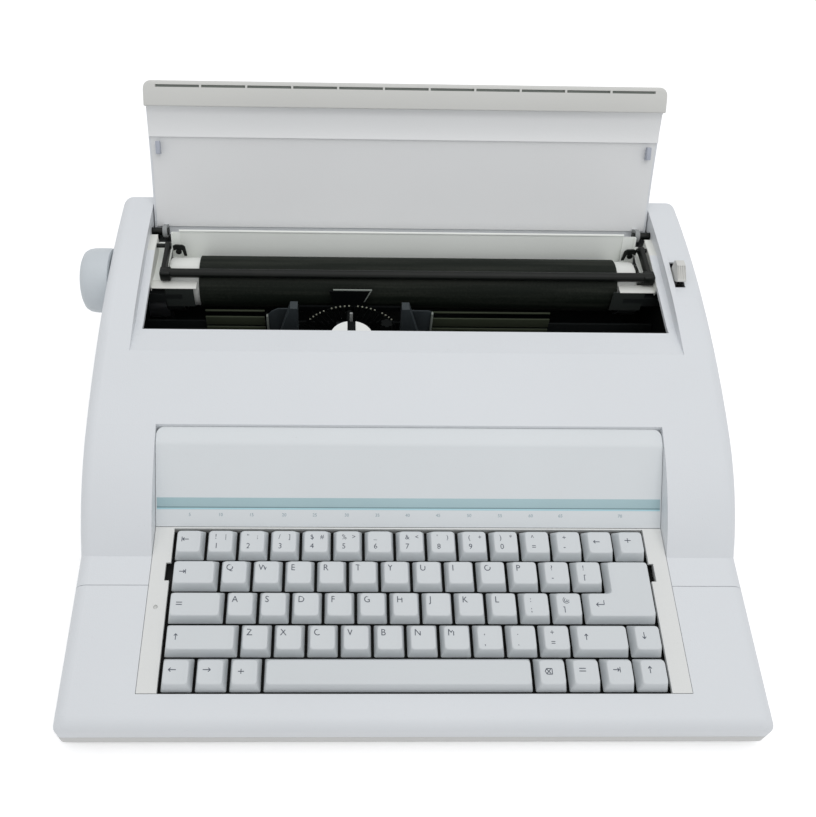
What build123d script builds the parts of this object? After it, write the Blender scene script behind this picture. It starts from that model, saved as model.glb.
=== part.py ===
"""Electronic daisy wheel typewriter with its lid open, in millimetres.

X runs to the right, Y from the front edge of the case to its back, Z up from the table. At the end every piece is
moved so that the origin is at the bottom centre of the whole object's box.
"""

from build123d import *
import math
import os

# Case
case_width = 399.0
case_depth = 356.0
case_top = 121.0
half_width = case_width / 2
wall = 2.6
cover_gap = 0.3
edge_radius = 8.0
seam_height = 14.0
foot_height = 4.0
foot_radius = 9.0
foot_inset = 28.0
screw_radius = 2.0
screw_head_radius = 3.8
screw_length = 9.0
screw_side_inset = 12.0
screw_rows = (46.0, 140.0, case_depth - 14.0)
boss_radius = 5.0

# Top line of the case, from the palm rest over the shoulders to the back
palm_slope = 9.34
palm_front_height = 28.3
front_frame_depth = 78.5
shoulder_run = 17.5
shoulder_foot_y = front_frame_depth + shoulder_run
shoulder_bulge = 4.9
cover_front_run = 66.0
cover_front_y = shoulder_foot_y + cover_front_run
cover_front_height = 88.5
cover_bulge = 9.4
back_slope_run = 14.5
back_slope_height = 96.0
cover_crest_y = case_depth - back_slope_run

# Keyboard
key_pitch = 19.05
key_row_units = 15
key_rows = 5
key_gap = 0.85
key_top_height = 6.2
key_height = 8.8
key_draft = 13.4
key_wall = 1.5
key_travel = 3.5
key_stem_radius = 2.4
key_stem_clearance = 0.08
key_stem_length = 8.2
opening_margin = 0.9
opening_front_y = 17.9
bezel_side_strip = 11.4
bezel_thickness = 2.2
opening_half = key_row_units * key_pitch / 2 + opening_margin
opening_length = key_rows * key_pitch + 2 * opening_margin
recess_half = opening_half + bezel_side_strip + cover_gap
key_plate_thickness = 1.5
key_plate_drop = 0.9
dome_radius = 4.6
dome_bore = 3.0
dome_height = 5.6
sheet_thickness = 0.8
switch_board_thickness = 1.6

# Label panel between the keyboard and the cover
panel_front_gap = 1.2
panel_top_drop = 2.2
panel_lip_depth = 9.7
panel_lip_slope = 20.0
panel_lip_radius = 6.0
panel_thickness = 2.2
panel_corner_radius = 5.0

# Well in the cover, and the seat that the closed lid lies in
seat_side_margin = 23.0
seat_side_width = 5.0
seat_front_depth = 7.8
seat_drop = 0.6
seat_rise_gap = 1.0
seat_back_drop = 8.8
well_front_inset = 11.6
well_back_margin = 22.5
well_wide_depth = 38.5
seat_half_width = half_width - seat_side_margin
well_half_width = seat_half_width - seat_side_width
well_back_y = case_depth - well_back_margin
well_narrow_back_y = well_back_y - well_wide_depth
seat_back_height = case_top - seat_back_drop

# Lid
lid_side_gap = 0.8
lid_back_gap = 14.0
lid_length = 102.7
lid_half_width = seat_half_width - lid_side_gap
lid_back_y = well_back_y - lid_back_gap
lid_front_y = lid_back_y - lid_length
seat_front_y = lid_front_y - seat_front_depth
well_front_y = lid_front_y + well_front_inset
lid_thickness = 2.2
lid_open_angle = 124.5
lid_bar_depth = 16.3
lid_bar_extra = 1.0
seat_rise_y = lid_front_y + lid_bar_depth + seat_rise_gap
lid_liner_inset = 6.5
lid_liner_front_inset = 36.0
lid_liner_back_inset = 7.5
lid_liner_half_width = lid_half_width - lid_liner_inset
lid_liner_front_y = lid_front_y + lid_liner_front_inset
lid_liner_back_y = lid_back_y - lid_liner_back_inset
lid_liner_thickness = 1.2
lid_slot_count = 11
lid_slot_rib = 1.0
lid_slot_pitch = 2 * (lid_half_width - 3 * lid_side_gap - 4.1) / lid_slot_count
lid_slot_length = lid_slot_pitch - lid_slot_rib
lid_slot_width = 1.2
lid_slot_inset = 3.0
lid_catch_inset = 43.2
lid_catch_y = lid_front_y + lid_catch_inset
lid_catch_length = 8.0
lid_catch_thickness = 2.4
lid_catch_side_inset = 5.4
lid_catch_gap = 0.6
lid_catch_depth = 5.0
hinge_inset = 2.9
hinge_drop = 10.0
hinge_y = lid_back_y - hinge_inset
hinge_height = case_top - hinge_drop
hinge_pin_radius = 2.5
pin_clearance = 0.05
lid_ear_thickness = 3.0
lid_ear_radius = 4.5

# Side frames and pan of the printing unit
frame_inner_x = seat_half_width + wall + cover_gap
frame_thickness = 2.0
frame_back_margin = 31.0
frame_top_drop = 6.5
frame_board_gap = 9.0
frame_back_y = case_depth - frame_back_margin
frame_top = case_top - frame_top_drop
frame_front_height = 60.0
pan_thickness = 1.6
pan_rib = 0.4

# Platen and paper feed
platen_hinge_gap = 29.7
platen_drop = 30.4
platen_y = hinge_y - platen_hinge_gap
platen_height = case_top - platen_drop
platen_radius = 18.0
platen_left_margin = 39.4
platen_right_margin = 32.4
platen_left = -frame_inner_x + platen_left_margin
platen_right = frame_inner_x - platen_right_margin
platen_shaft_radius = 5.0
shaft_overhang = 1.5
end_cap_radius = 13.0
end_cap_margin = 16.9
end_cap_outer_x = frame_inner_x - end_cap_margin
end_cap_gap = 1.0
bush_radius = 8.0
bush_flange_radius = 10.0
knob_radius = 22.5
knob_length = 20.5
knob_gap = 1.0
gear_teeth = 48
pinion_teeth = 12
gear_module = 0.75
gear_width = 5.0
gear_offset = 6.1
gear_x = frame_inner_x + gear_offset
feed_motor_radius = 9.5
feed_motor_length = 15.0
feed_motor_shaft_radius = 1.5
feed_roller_radius = 6.0
feed_roller_length = 30.0
feed_roller_count = 4
feed_roller_pitch = (platen_right - platen_left) / (feed_roller_count + 0.1)
feed_shaft_radius = 3.0
feed_angle = 40.0
roller_gap = 0.3
paper_pan_gap = 1.5
paper_pan_thickness = 0.8
paper_pan_margin = 22.4
chute_run = 26.6
chute_rise = 22.9
paper_pan_half_width = frame_inner_x - paper_pan_margin
guide_shelf_inset = 28.0
guide_trough_length = 12.2
guide_shelf_rise = 6.6
guide_shelf_gap = 0.8
chute_top_y = platen_y + chute_run
chute_top_height = platen_height + chute_rise
chute_lip_radius = 0.9
paper_strip_gap = 1.0
paper_strip_drop = 2.2
paper_strip_y = platen_y - platen_radius - paper_strip_gap
paper_strip_top = platen_height - platen_radius - paper_strip_drop
paper_strip_height = 13.0
paper_strip_thickness = 1.5

# Paper bail
bail_side_gap = 9.0
bail_half_length = seat_half_width - bail_side_gap
bail_bar_radius = 3.1
bail_block_length = 8.0
bail_block_gap = 0.6
bail_block_half = 3.8
bail_block_drop = 0.8
bail_bar_angle = 122.0
bail_gap = 0.3
bail_pivot_run = 15.1
bail_pivot_rise = 19.4
bail_pivot_y = platen_y + bail_pivot_run
bail_pivot_height = platen_height + bail_pivot_rise
bail_arm_thickness = 3.0
bail_arm_width = 6.0
bail_pin_radius = 1.5

# Carriage
carriage_x = -37.2
carriage_half_width = 52.0
wheel_platen_gap = 26.9
wheel_y = platen_y - wheel_platen_gap
carriage_back_y = wheel_y - 3.0
main_rail_offset = 38.0
rail_spacing = 38.0
carriage_front_length = 8.0
main_rail_y = wheel_y - main_rail_offset
main_rail_radius = 5.0
front_rail_y = main_rail_y - rail_spacing
front_rail_radius = 4.0
rail_height = 40.0
carriage_floor = 30.0
carriage_plate = 3.0
carriage_front_y = front_rail_y - carriage_front_length
bearing_width = 18.0
bearing_depth = 20.0
bearing_offset = 39.0
ribbon_arm_inner = 35.0
ribbon_arm_foot = 13.0
ribbon_arm_tip = 5.0
ribbon_arm_depth = 7.0
ribbon_arm_rise = 10.4
ribbon_arm_taper = 26.0
ribbon_arm_top = platen_height + ribbon_arm_rise
ribbon_arm_knee = ribbon_arm_top - ribbon_arm_taper
upright_offset = 22.0
upright_y = wheel_y - upright_offset
upright_thickness = 2.5
upright_half_width = 30.0
wheel_radius = 37.0
wheel_hub_radius = 24.0
wheel_thickness = 0.8
wheel_petals = 48
wheel_top_overlap = 3.1
wheel_motor_radius = 17.0
wheel_motor_length = 15.0
wheel_shaft_radius = 1.5
hammer_radius = 2.0
hammer_travel = 2.2
hammer_gap = 2.4
solenoid_half_width = 9.0
solenoid_length = 20.0
solenoid_half_height = 6.6
card_half_width = 14.0
card_height = 13.0
card_thickness = 0.8
card_gap = 2.3
card_rise = 5.5
card_bar_height = 4.0
spindle_offset = 25.0
spindle_inset = 13.0
spindle_rise = 0.8
spindle_y = wheel_y - spindle_inset
spindle_radius = 2.5
spindle_head_radius = 4.0
spindle_top = platen_height + spindle_rise

# Carriage drive
belt_offset = 22.0
belt_drop = 5.0
belt_y = main_rail_y - belt_offset
belt_height = carriage_floor - belt_drop
belt_width = 6.0
belt_thickness = 1.2
pulley_radius = 8.0
drive_pulley_margin = 30.4
idler_pulley_margin = 15.4
drive_pulley_x = frame_inner_x - drive_pulley_margin
idler_pulley_x = -frame_inner_x + idler_pulley_margin
pulley_height = 8.0
pulley_post_radius = 2.0
carriage_motor_radius = 18.0

# Electronics
board_shoulder_gap = 23.0
board_y = shoulder_foot_y + board_shoulder_gap
board_depth = 40.0
frame_front_y = board_y + board_depth + frame_board_gap
board_side_margin = 5.5
board_left = -recess_half + board_side_margin
board_thickness = 1.6
board_post_height = 6.0
board_post_radius = 4.0
transformer_margin = 4.5
transformer_width = 46.0
transformer_x = recess_half - transformer_margin - transformer_width / 2
transformer_gap = 7.0
board_right = transformer_x - transformer_width / 2 - transformer_gap
transformer_depth = 36.0
transformer_height = 38.0
coil_width = 30.0
coil_overhang = 5.0

# Back wall fittings and the paper release
inlet_margin = 49.5
inlet_x = -half_width + inlet_margin
inlet_width = 27.0
inlet_height = 20.0
inlet_depth = 22.0
inlet_flange = 3.0
inlet_z = 40.0
switch_x = half_width - inlet_margin
switch_width = 20.0
switch_height = 14.0
switch_depth = 16.0
rocker_angle = 8.0
release_x = frame_inner_x + 4.9
release_thickness = 4.0
release_pivot_run = -11.9
release_pivot_drop = 20.6
release_head_run = 12.2
release_head_half = 2.8
release_tip_rise = 2.8
release_pivot_y = platen_y + release_pivot_run
release_pivot_height = platen_height - release_pivot_drop
release_tip_height = case_top + release_tip_rise
release_width = 6.0
release_pin_radius = 2.5
release_slot_side = 3.4
release_slot_front = 13.8
release_slot_back = 8.0
release_slot_depth = 16.0
release_scoop_depth = 1.4
release_scoop_run = 9.0
release_scoop_inset = 4.4

parts = {}


def block(low, high):
    """Box between two opposite corners."""
    size = [b - a for a, b in zip(low, high)]
    middle = [(a + b) / 2 for a, b in zip(low, high)]
    return Pos(*middle) * Box(*size)


def rod_x(low, high, y, z, radius):
    return Pos((low + high) / 2, y, z) * Rot(0, 90, 0) * Cylinder(radius, high - low)


def rod_y(x, low, high, z, radius):
    return Pos(x, (low + high) / 2, z) * Rot(90, 0, 0) * Cylinder(radius, high - low)


def rod_z(x, y, low, high, radius):
    return Pos(x, y, (low + high) / 2) * Cylinder(radius, high - low)


def slab_x(outline, low, high):
    """Solid with a closed YZ outline, from X low to X high."""
    return Pos(low, 0, 0) * extrude(Plane.YZ * make_face(outline), high - low)


def slab_y(outline, low, high):
    """Solid with a closed XZ outline, from Y low to Y high."""
    return Pos(0, high, 0) * extrude(Plane.XZ * make_face(outline), high - low)


def join(pieces):
    """One shape from a list of solids."""
    whole = pieces[0]
    for piece in pieces[1:]:
        whole = whole + piece
    return whole


def group(pieces):
    """Several separate solids kept in one node."""
    return Compound(children=[solid for piece in pieces for solid in piece.solids()])


def mirror_x(shape):
    return shape.mirror(Plane.YZ)


# Lines of the case
def palm_height(y):
    return palm_front_height + y * math.tan(math.radians(palm_slope))


def bulged_middle(start, end, bulge):
    """Middle point of an arc from start to end that stands bulge above its chord."""
    length = math.dist(start, end)
    across = (-(end[1] - start[1]) / length, (end[0] - start[0]) / length)
    return ((start[0] + end[0]) / 2 + across[0] * bulge, (start[1] + end[1]) / 2 + across[1] * bulge)


def arc_height(y, start, end, bulge):
    """Height of that arc at y."""
    half = math.dist(start, end) / 2
    radius = (half * half + bulge * bulge) / (2 * bulge)
    top = bulged_middle(start, end, bulge)
    across = (-(end[1] - start[1]) / (2 * half), (end[0] - start[0]) / (2 * half))
    centre = (top[0] - across[0] * radius, top[1] - across[1] * radius)
    return centre[1] + math.sqrt(radius * radius - (y - centre[0]) ** 2)


shoulder_foot = (shoulder_foot_y, palm_height(shoulder_foot_y))
cover_front = (cover_front_y, cover_front_height)
cover_back = (case_depth, case_top)
seam_top = seam_height + cover_gap
cover_foot_y = front_frame_depth + cover_gap


def top_height(y):
    """Height of the cover's top at y, behind the label panel."""
    return arc_height(y, cover_front, cover_back, cover_bulge)


def deck_height(y):
    """Height of the cover's top at any y, shoulders and back slope included."""
    if y > cover_crest_y:
        share = (y - cover_crest_y) / back_slope_run
        return top_height(cover_crest_y) * (1 - share) + back_slope_height * share
    if y > cover_front_y:
        return top_height(y)
    if y > shoulder_foot_y:
        return arc_height(y, shoulder_foot, cover_front, shoulder_bulge)
    return palm_height(y)


def cover_outline(front_y, low):
    """YZ outline of the cover, with its front at front_y and its open underside at low."""
    first = (front_y, palm_height(front_y))
    middle_y = (cover_front_y + cover_crest_y) / 2
    crest = (cover_crest_y, top_height(cover_crest_y))
    foot = (case_depth, back_slope_height)
    return [
        Line((front_y, low), first),
        Line(first, shoulder_foot),
        ThreePointArc(shoulder_foot, bulged_middle(shoulder_foot, cover_front, shoulder_bulge), cover_front),
        ThreePointArc(cover_front, (middle_y, top_height(middle_y)), crest),
        Line(crest, foot),
        Line(foot, (case_depth, low)),
        Line((case_depth, low), (front_y, low)),
    ]


def rounded_prism(outline, half, radius, low_limit, front_limit):
    """Prism across the case with its long side edges rounded above low_limit and behind front_limit."""
    solid = slab_x(outline, -half, half)
    edges = []
    for edge in solid.edges():
        middle = edge.center()
        on_side = abs(abs(middle.X) - half) < 0.01
        if on_side and middle.Z > low_limit and middle.Y > front_limit:
            edges.append(edge)
    return fillet(edges, radius)


# Keyboard frame of reference: its X runs to the right, its Y up the slope, its Z out of the keys
keyboard_place = Pos(0, opening_front_y, palm_height(opening_front_y)) * Rot(palm_slope, 0, 0)
key_base = key_top_height - key_height
plate_top = key_base - key_travel - key_plate_drop
sheet_top = plate_top - key_plate_thickness - cover_gap - dome_height


def keyboard_point(along, out):
    """YZ point of the case at a distance up the slope and out of the palm plane."""
    turn = math.radians(palm_slope)
    y = opening_front_y + along * math.cos(turn) - out * math.sin(turn)
    z = palm_height(opening_front_y) + along * math.sin(turn) + out * math.cos(turn)
    return (y, z)


def lower_case():
    """Tray under the whole machine, with screw bosses and posts for the board."""
    outside = Pos(0, case_depth / 2, (foot_height + seam_height) / 2) * Box(
        case_width, case_depth, seam_height - foot_height
    )
    outside = fillet(outside.edges().filter_by(Axis.Z), edge_radius)
    outside = fillet(outside.edges().group_by(Axis.Z)[0], wall)
    inside = block(
        (-half_width + wall, wall, foot_height + wall), (half_width - wall, case_depth - wall, seam_height + 1)
    )
    inside = fillet(inside.edges().filter_by(Axis.Z), edge_radius - wall)
    tray = outside - inside
    for x, y in screw_places():
        tray = tray + rod_z(x, y, foot_height + wall / 2, seam_height - cover_gap, boss_radius)
    for x, y in board_posts():
        tray = tray + rod_z(x, y, foot_height + wall / 2, foot_height + wall + board_post_height, board_post_radius)
    for x, y in screw_places():
        tray = tray - rod_z(x, y, foot_height - 1, seam_height, screw_radius + pin_clearance)
        tray = tray - rod_z(x, y, foot_height - 1, foot_height + wall / 2, screw_head_radius + cover_gap)
    return tray


def screw_places():
    columns = (-half_width + screw_side_inset, half_width - screw_side_inset)
    return [(x, y) for x in columns for y in screw_rows]


def board_posts():
    inset = 8.0
    return [
        (x, y)
        for x in (board_left + inset, board_right - inset)
        for y in (board_y + inset, board_y + board_depth - inset)
    ]


def rubber_feet():
    places = [
        (x, y)
        for x in (-half_width + foot_inset, half_width - foot_inset)
        for y in (foot_inset, case_depth - foot_inset)
    ]
    return group([rod_z(x, y, 0, foot_height, foot_radius) for x, y in places])


def case_screws():
    screws = []
    for x, y in screw_places():
        head_top = foot_height + wall / 2
        head = rod_z(x, y, foot_height + cover_gap, head_top, screw_head_radius)
        screws.append(head + rod_z(x, y, head_top, head_top + screw_length, screw_radius))
    return group(screws)


def front_frame():
    """Palm rest in front of and beside the keyboard."""
    corner = (0, palm_height(0))
    back = (front_frame_depth, palm_height(front_frame_depth))

    def outline(low):
        return [Polyline((0, low), corner, back, (front_frame_depth, low), close=True)]

    outside = slab_x(outline(seam_top), -half_width, half_width)
    front = outside.faces().sort_by(Axis.Y)[0]
    edges = [e for e in front.edges() if e.center().Z > seam_top + 1]
    sides = [
        e
        for e in outside.edges()
        if abs(abs(e.center().X) - half_width) < 0.01
        and 1 < e.center().Y < front_frame_depth - 1
        and e.center().Z > seam_top + 1
    ]
    outside = fillet(edges + sides, edge_radius)
    inner_face = offset(make_face(outline(seam_top - 3 * wall)), amount=-wall, kind=Kind.INTERSECTION)
    inside = Pos(-half_width + wall, 0, 0) * extrude(Plane.YZ * inner_face, case_width - 2 * wall)
    shell = outside - inside
    recess = keyboard_place * block((-recess_half, 0, -60), (recess_half, 2 * opening_length, 60))
    shell = shell - recess
    for x, y in screw_places():
        if y < front_frame_depth:
            shell = shell + rod_z(x, y, seam_top, palm_height(y) - wall / 2, boss_radius)
            shell = shell - rod_z(x, y, seam_top - 1, seam_top + screw_length, screw_radius)
    return shell


def panel_line():
    """YZ ends of the label panel's outer face."""
    low = keyboard_point(opening_length + panel_front_gap, 0)
    high = (cover_front_y - cover_gap, cover_front_height - panel_top_drop)
    return low, high


def seat_height(y):
    """Height of the seat under the closed lid, level in front and rising beside the well."""
    level = top_height(seat_front_y) - seat_drop
    if y <= seat_rise_y:
        return level
    share = (y - seat_rise_y) / (well_narrow_back_y - seat_rise_y)
    return level + share * (seat_back_height - level)


def upper_cover():
    """Rear cover: two shoulders, the deck with its well, and the back wall."""
    outside = rounded_prism(
        cover_outline(cover_foot_y, seam_top), half_width, edge_radius, seam_top + 1, cover_foot_y + 1
    )
    inner_face = offset(
        make_face(cover_outline(cover_foot_y, seam_top - 3 * wall)), amount=-wall, kind=Kind.INTERSECTION
    )
    inner_half = half_width - wall
    inside = Pos(-inner_half, 0, 0) * extrude(Plane.YZ * inner_face, 2 * inner_half)
    rounded = [
        e
        for e in inside.edges()
        if abs(abs(e.center().X) - inner_half) < 0.01 and e.center().Z > seam_top + 1 and e.center().Y > cover_foot_y + 4
    ]
    inside = fillet(rounded, edge_radius - wall)
    core_half = recess_half + wall
    core = block((-core_half, 0, -10), (core_half, cover_front_y + wall, 2 * case_top))
    shell = outside - (inside - core)
    shell = shell - block((-recess_half, 0, -10), (recess_half, cover_front_y, 2 * case_top))
    below_panel = block(
        (-recess_half, cover_front_y - 1, 0), (recess_half, cover_front_y + wall + 1, panel_line()[1][1] - 8)
    )
    shell = shell - below_panel
    shell = shell + seat_pocket(wall)
    shell = shell - seat_pocket(0)
    shell = shell - well_cut()
    for sign in (-1, 1):
        for y, z, radius in (
            (hinge_y, hinge_height, hinge_pin_radius),
            (bail_pivot_y, bail_pivot_height, bail_pin_radius),
        ):
            wall_low = seat_half_width - 1
            wall_high = frame_inner_x
            hole_low = min(sign * wall_low, sign * wall_high)
            hole_high = max(sign * wall_low, sign * wall_high)
            shell = shell - rod_x(hole_low, hole_high, y, z, radius + cover_gap)
    shell = shell - rod_x(-half_width - 1, -half_width + 2 * wall, platen_y, platen_height, platen_shaft_radius + 2)
    shell = shell - block(
        (release_x - release_slot_side, release_pivot_y - release_slot_front, case_top - release_slot_depth),
        (release_x + release_slot_side, release_pivot_y + release_slot_back, case_top + 1),
    )
    scoop_front = release_pivot_y - release_slot_front
    scoop_back = release_pivot_y + release_slot_back
    scoop = Polyline(
        (scoop_front - release_scoop_run, case_top + 2),
        (scoop_front - release_scoop_run, deck_height(scoop_front - release_scoop_run)),
        (scoop_front, deck_height(scoop_front) - release_scoop_depth),
        (scoop_back, deck_height(scoop_back) - release_scoop_depth),
        (scoop_back + release_scoop_run / 2, deck_height(scoop_back + release_scoop_run / 2)),
        (scoop_back + release_scoop_run / 2, case_top + 2),
        close=True,
    )
    shell = shell - slab_x([scoop], release_x - release_scoop_inset, half_width + 1)
    shell = shell - back_hole(inlet_x, inlet_width, inlet_height)
    shell = shell - back_hole(switch_x, switch_width, switch_height)
    for index in range(9):
        x = (index - 4) * 14.0
        shell = shell - block((x - 2, case_depth - 3 * wall, 34), (x + 2, case_depth + 1, 62))
    for x, y in screw_places():
        if y > cover_foot_y:
            boss_top = min(deck_height(y - boss_radius), deck_height(y + boss_radius)) - wall / 2
            shell = shell + rod_z(x, y, seam_top, boss_top, boss_radius)
            shell = shell - rod_z(x, y, seam_top - 1, seam_top + screw_length, screw_radius)
    return shell


def seat_pocket(skin):
    """Space of the lid's seat, or with skin the floor and walls that hold it."""
    low = seat_height(well_front_y) - skin
    level_front = seat_front_y - (skin if skin else 0)
    top = case_top + 5 if not skin else None
    half = seat_half_width + skin
    back_y = well_back_y + skin
    if skin:
        upper = [
            (y, top_height(y) - skin / 2) for y in (back_y, (level_front + back_y) / 2, level_front)
        ]
    else:
        upper = [(back_y, top), (level_front, top)]
    outline = [
        (level_front, low),
        (seat_rise_y, low),
        (well_narrow_back_y, seat_back_height - skin),
        (back_y, seat_back_height - skin),
    ] + upper
    return slab_x([Polyline(*outline, close=True)], -half, half)


def well_cut():
    """Opening of the well, wider at the back where the lid's lower end turns."""
    narrow = block(
        (-well_half_width, well_front_y, 0), (well_half_width, well_back_y, 2 * case_top)
    )
    wide = block(
        (-seat_half_width, well_narrow_back_y, 0), (seat_half_width, well_back_y, 2 * case_top)
    )
    keep_low = seat_height(well_front_y) - 3 * wall
    both = narrow + wide
    return both & block((-half_width, 0, keep_low), (half_width, case_depth, 2 * case_top))


def back_hole(x, width, height):
    return block(
        (x - width / 2, case_depth - 3 * wall, inlet_z - height / 2),
        (x + width / 2, case_depth + 1, inlet_z + height / 2),
    )


def keyboard_bezel():
    """Thin frame that fills the recess round the keys, on ribs that stand on the key plate."""
    outer = recess_half - cover_gap
    rear = opening_length + panel_front_gap - cover_gap
    frame = block((-outer, cover_gap, -bezel_thickness), (outer, rear, 0))
    frame = frame - block((-opening_half, -1, -20), (opening_half, opening_length, 20))
    row_tab = (key_rows - 1.62) * key_pitch
    for sign in (-1, 1):
        edge = sign * opening_half
        frame = frame - block(
            (min(edge, edge + sign * 2.8), row_tab, -20), (max(edge, edge + sign * 2.8), row_tab + 11, 20)
        )
        rib = sign * (opening_half + 4.0)
        frame = frame + block(
            (min(rib, rib + sign * wall), cover_gap, plate_top), (max(rib, rib + sign * wall), rear, -0.5)
        )
    rear_rib = block((-outer, opening_length, plate_top), (outer, rear, -0.5))
    screw = rod_z(-opening_half - 6.0, 2.55 * key_pitch, -bezel_thickness + 0.8, 1, 1.3)
    return keyboard_place * (frame + rear_rib - screw)


# Every key of a row by its node, from left to right, with its width in key units; the first row is the rearmost
def key_layout():
    return [
        [("function_keys", 1)] + [("number_keys", 1)] * 12 + [("backspace_key", 1), ("function_keys", 1)],
        [("tab_key", 1.5)] + [("upper_letter_keys", 1)] * 12,
        [("shift_lock_key", 1.75)] + [("home_letter_keys", 1)] * 11,
        [("left_shift_key", 2.25)] + [("lower_letter_keys", 1)] * 10 + [("right_shift_key", 1.75), ("function_keys", 1)],
        [("function_keys", 1)] * 2 + [("code_key", 1), ("space_bar", 8), ("correction_key", 1)] + [("function_keys", 1)] * 3,
    ]


def key_cap(corners, stems):
    """Hollow cap with sloping sides over the outline corners, with its stems."""
    base = Pos(0, 0, key_base) * make_face([Polyline(*corners, close=True)])
    outside = extrude(base, key_height, taper=key_draft)
    inner = offset(base, amount=-key_wall, kind=Kind.INTERSECTION)
    inside = extrude(inner, key_height - key_wall, taper=key_draft)
    cap = outside - inside
    for x, y in stems:
        top = key_top_height - key_wall / 2
        cap = cap + rod_z(x, y, key_base - key_stem_length, top, key_stem_radius)
    return cap


def rectangle_corners(left, right, front, back):
    margin = key_gap / 2
    return [
        (left + margin, front + margin),
        (right - margin, front + margin),
        (right - margin, back - margin),
        (left + margin, back - margin),
    ]


def key_pieces():
    """All key caps by node, and the places of every stem, in the keyboard's own frame."""
    caps = {}
    stems = []
    left_edge = -key_row_units * key_pitch / 2
    for row, keys in enumerate(key_layout()):
        front = opening_margin + (key_rows - 1 - row) * key_pitch
        middle = front + key_pitch / 2
        left = left_edge
        for node, units in keys:
            right = left + units * key_pitch
            centre = (left + right) / 2
            own = [(centre, middle)]
            if units > 4:
                spread = 0.36 * units * key_pitch
                own = own + [(centre - spread, middle), (centre + spread, middle)]
            corners = rectangle_corners(left, right, front, front + key_pitch)
            caps.setdefault(node, []).append(key_cap(corners, own))
            stems = stems + own
            left = right
    caps["return_key"], own = return_key(left_edge)
    return caps, stems + own


def return_key(left_edge):
    """Return key over two rows, wider in its lower row."""
    right = left_edge + key_row_units * key_pitch
    lower_left = right - 2.25 * key_pitch
    upper_left = right - 1.5 * key_pitch
    front = opening_margin + 2 * key_pitch
    step = front + key_pitch
    back = step + key_pitch
    margin = key_gap / 2
    corners = [
        (lower_left + margin, front + margin),
        (right - margin, front + margin),
        (right - margin, back - margin),
        (upper_left + margin, back - margin),
        (upper_left + margin, step - margin),
        (lower_left + margin, step - margin),
    ]
    stem = ((upper_left + right) / 2, step)
    return [key_cap(corners, [stem])], [stem]


def keyboard_layers(stems):
    """Key plate, dome sheet and switch board under the keys."""
    half = recess_half - cover_gap
    length = opening_length + panel_front_gap - cover_gap
    plate = block((-half, cover_gap, plate_top - key_plate_thickness), (half, length, plate_top))
    sheet = block((-half, cover_gap, sheet_top - sheet_thickness), (half, length, sheet_top))
    board = block(
        (-half, cover_gap, sheet_top - sheet_thickness - switch_board_thickness), (half, length, sheet_top - sheet_thickness)
    )
    plate_low = plate_top - key_plate_thickness
    for x, y in stems:
        plate = plate - rod_z(x, y, plate_low - 1, plate_top + 1, key_stem_radius + key_stem_clearance)
        sheet = sheet + rod_z(x, y, sheet_top - sheet_thickness / 2, plate_low - cover_gap, dome_radius)
    for x, y in stems:
        sheet = sheet - rod_z(x, y, sheet_top, plate_low, dome_bore)
    return keyboard_place * plate, keyboard_place * sheet, keyboard_place * board


def label_panel():
    """Sloping panel behind the keys, bent back into a flatter lip with rounded corners."""
    low, high = panel_line()
    lip_turn = math.radians(panel_lip_slope)
    bend = (high[0] - panel_lip_depth, high[1] - panel_lip_depth * math.tan(lip_turn))
    slope = math.degrees(math.atan2(bend[1] - low[1], bend[0] - low[0]))
    half = recess_half - cover_gap
    length = math.dist(low, bend)
    face = block((-half, 0, -panel_thickness), (half, length, 0))
    for sign in (-1, 1):
        outer = sign * half
        inner = sign * (half - panel_thickness)
        face = face + block((min(outer, inner), 0, -10), (max(outer, inner), length - 4, -panel_thickness))
    lip_length = math.dist(bend, high)
    lip = block((-half, 0, -panel_thickness), (half, lip_length, 0))
    corners = [e for e in lip.edges().filter_by(Axis.Z) if e.center().Y > lip_length / 2]
    lip = fillet(corners, panel_corner_radius)
    placed = Pos(0, low[0], low[1]) * Rot(slope, 0, 0) * face + Pos(0, bend[0], bend[1]) * Rot(panel_lip_slope, 0, 0) * lip
    crease = [
        e for e in placed.edges().filter_by(Axis.X) if math.dist((e.center().Y, e.center().Z), bend) < 0.05
    ]
    placed = fillet(crease, panel_lip_radius)
    behind = block((-half - 1, high[0], 0), (half + 1, high[0] + 10 * panel_thickness, 2 * case_top))
    return placed - behind


def lid_turn(shape):
    """Opens a piece of the lid that was drawn closed."""
    return shape.rotate(Axis((0, hinge_y, hinge_height), (1, 0, 0)), -lid_open_angle)


def lid_band(front, back, top_drop, thickness):
    """YZ outline of a band that follows the cover's top line."""
    middle = (front + back) / 2
    upper = [(y, top_height(y) - top_drop) for y in (front, middle, back)]
    lower = [(y, z - thickness) for y, z in upper]
    return [
        ThreePointArc(*upper),
        Line(upper[2], lower[2]),
        ThreePointArc(*lower),
        Line(lower[0], upper[0]),
    ]


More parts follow.
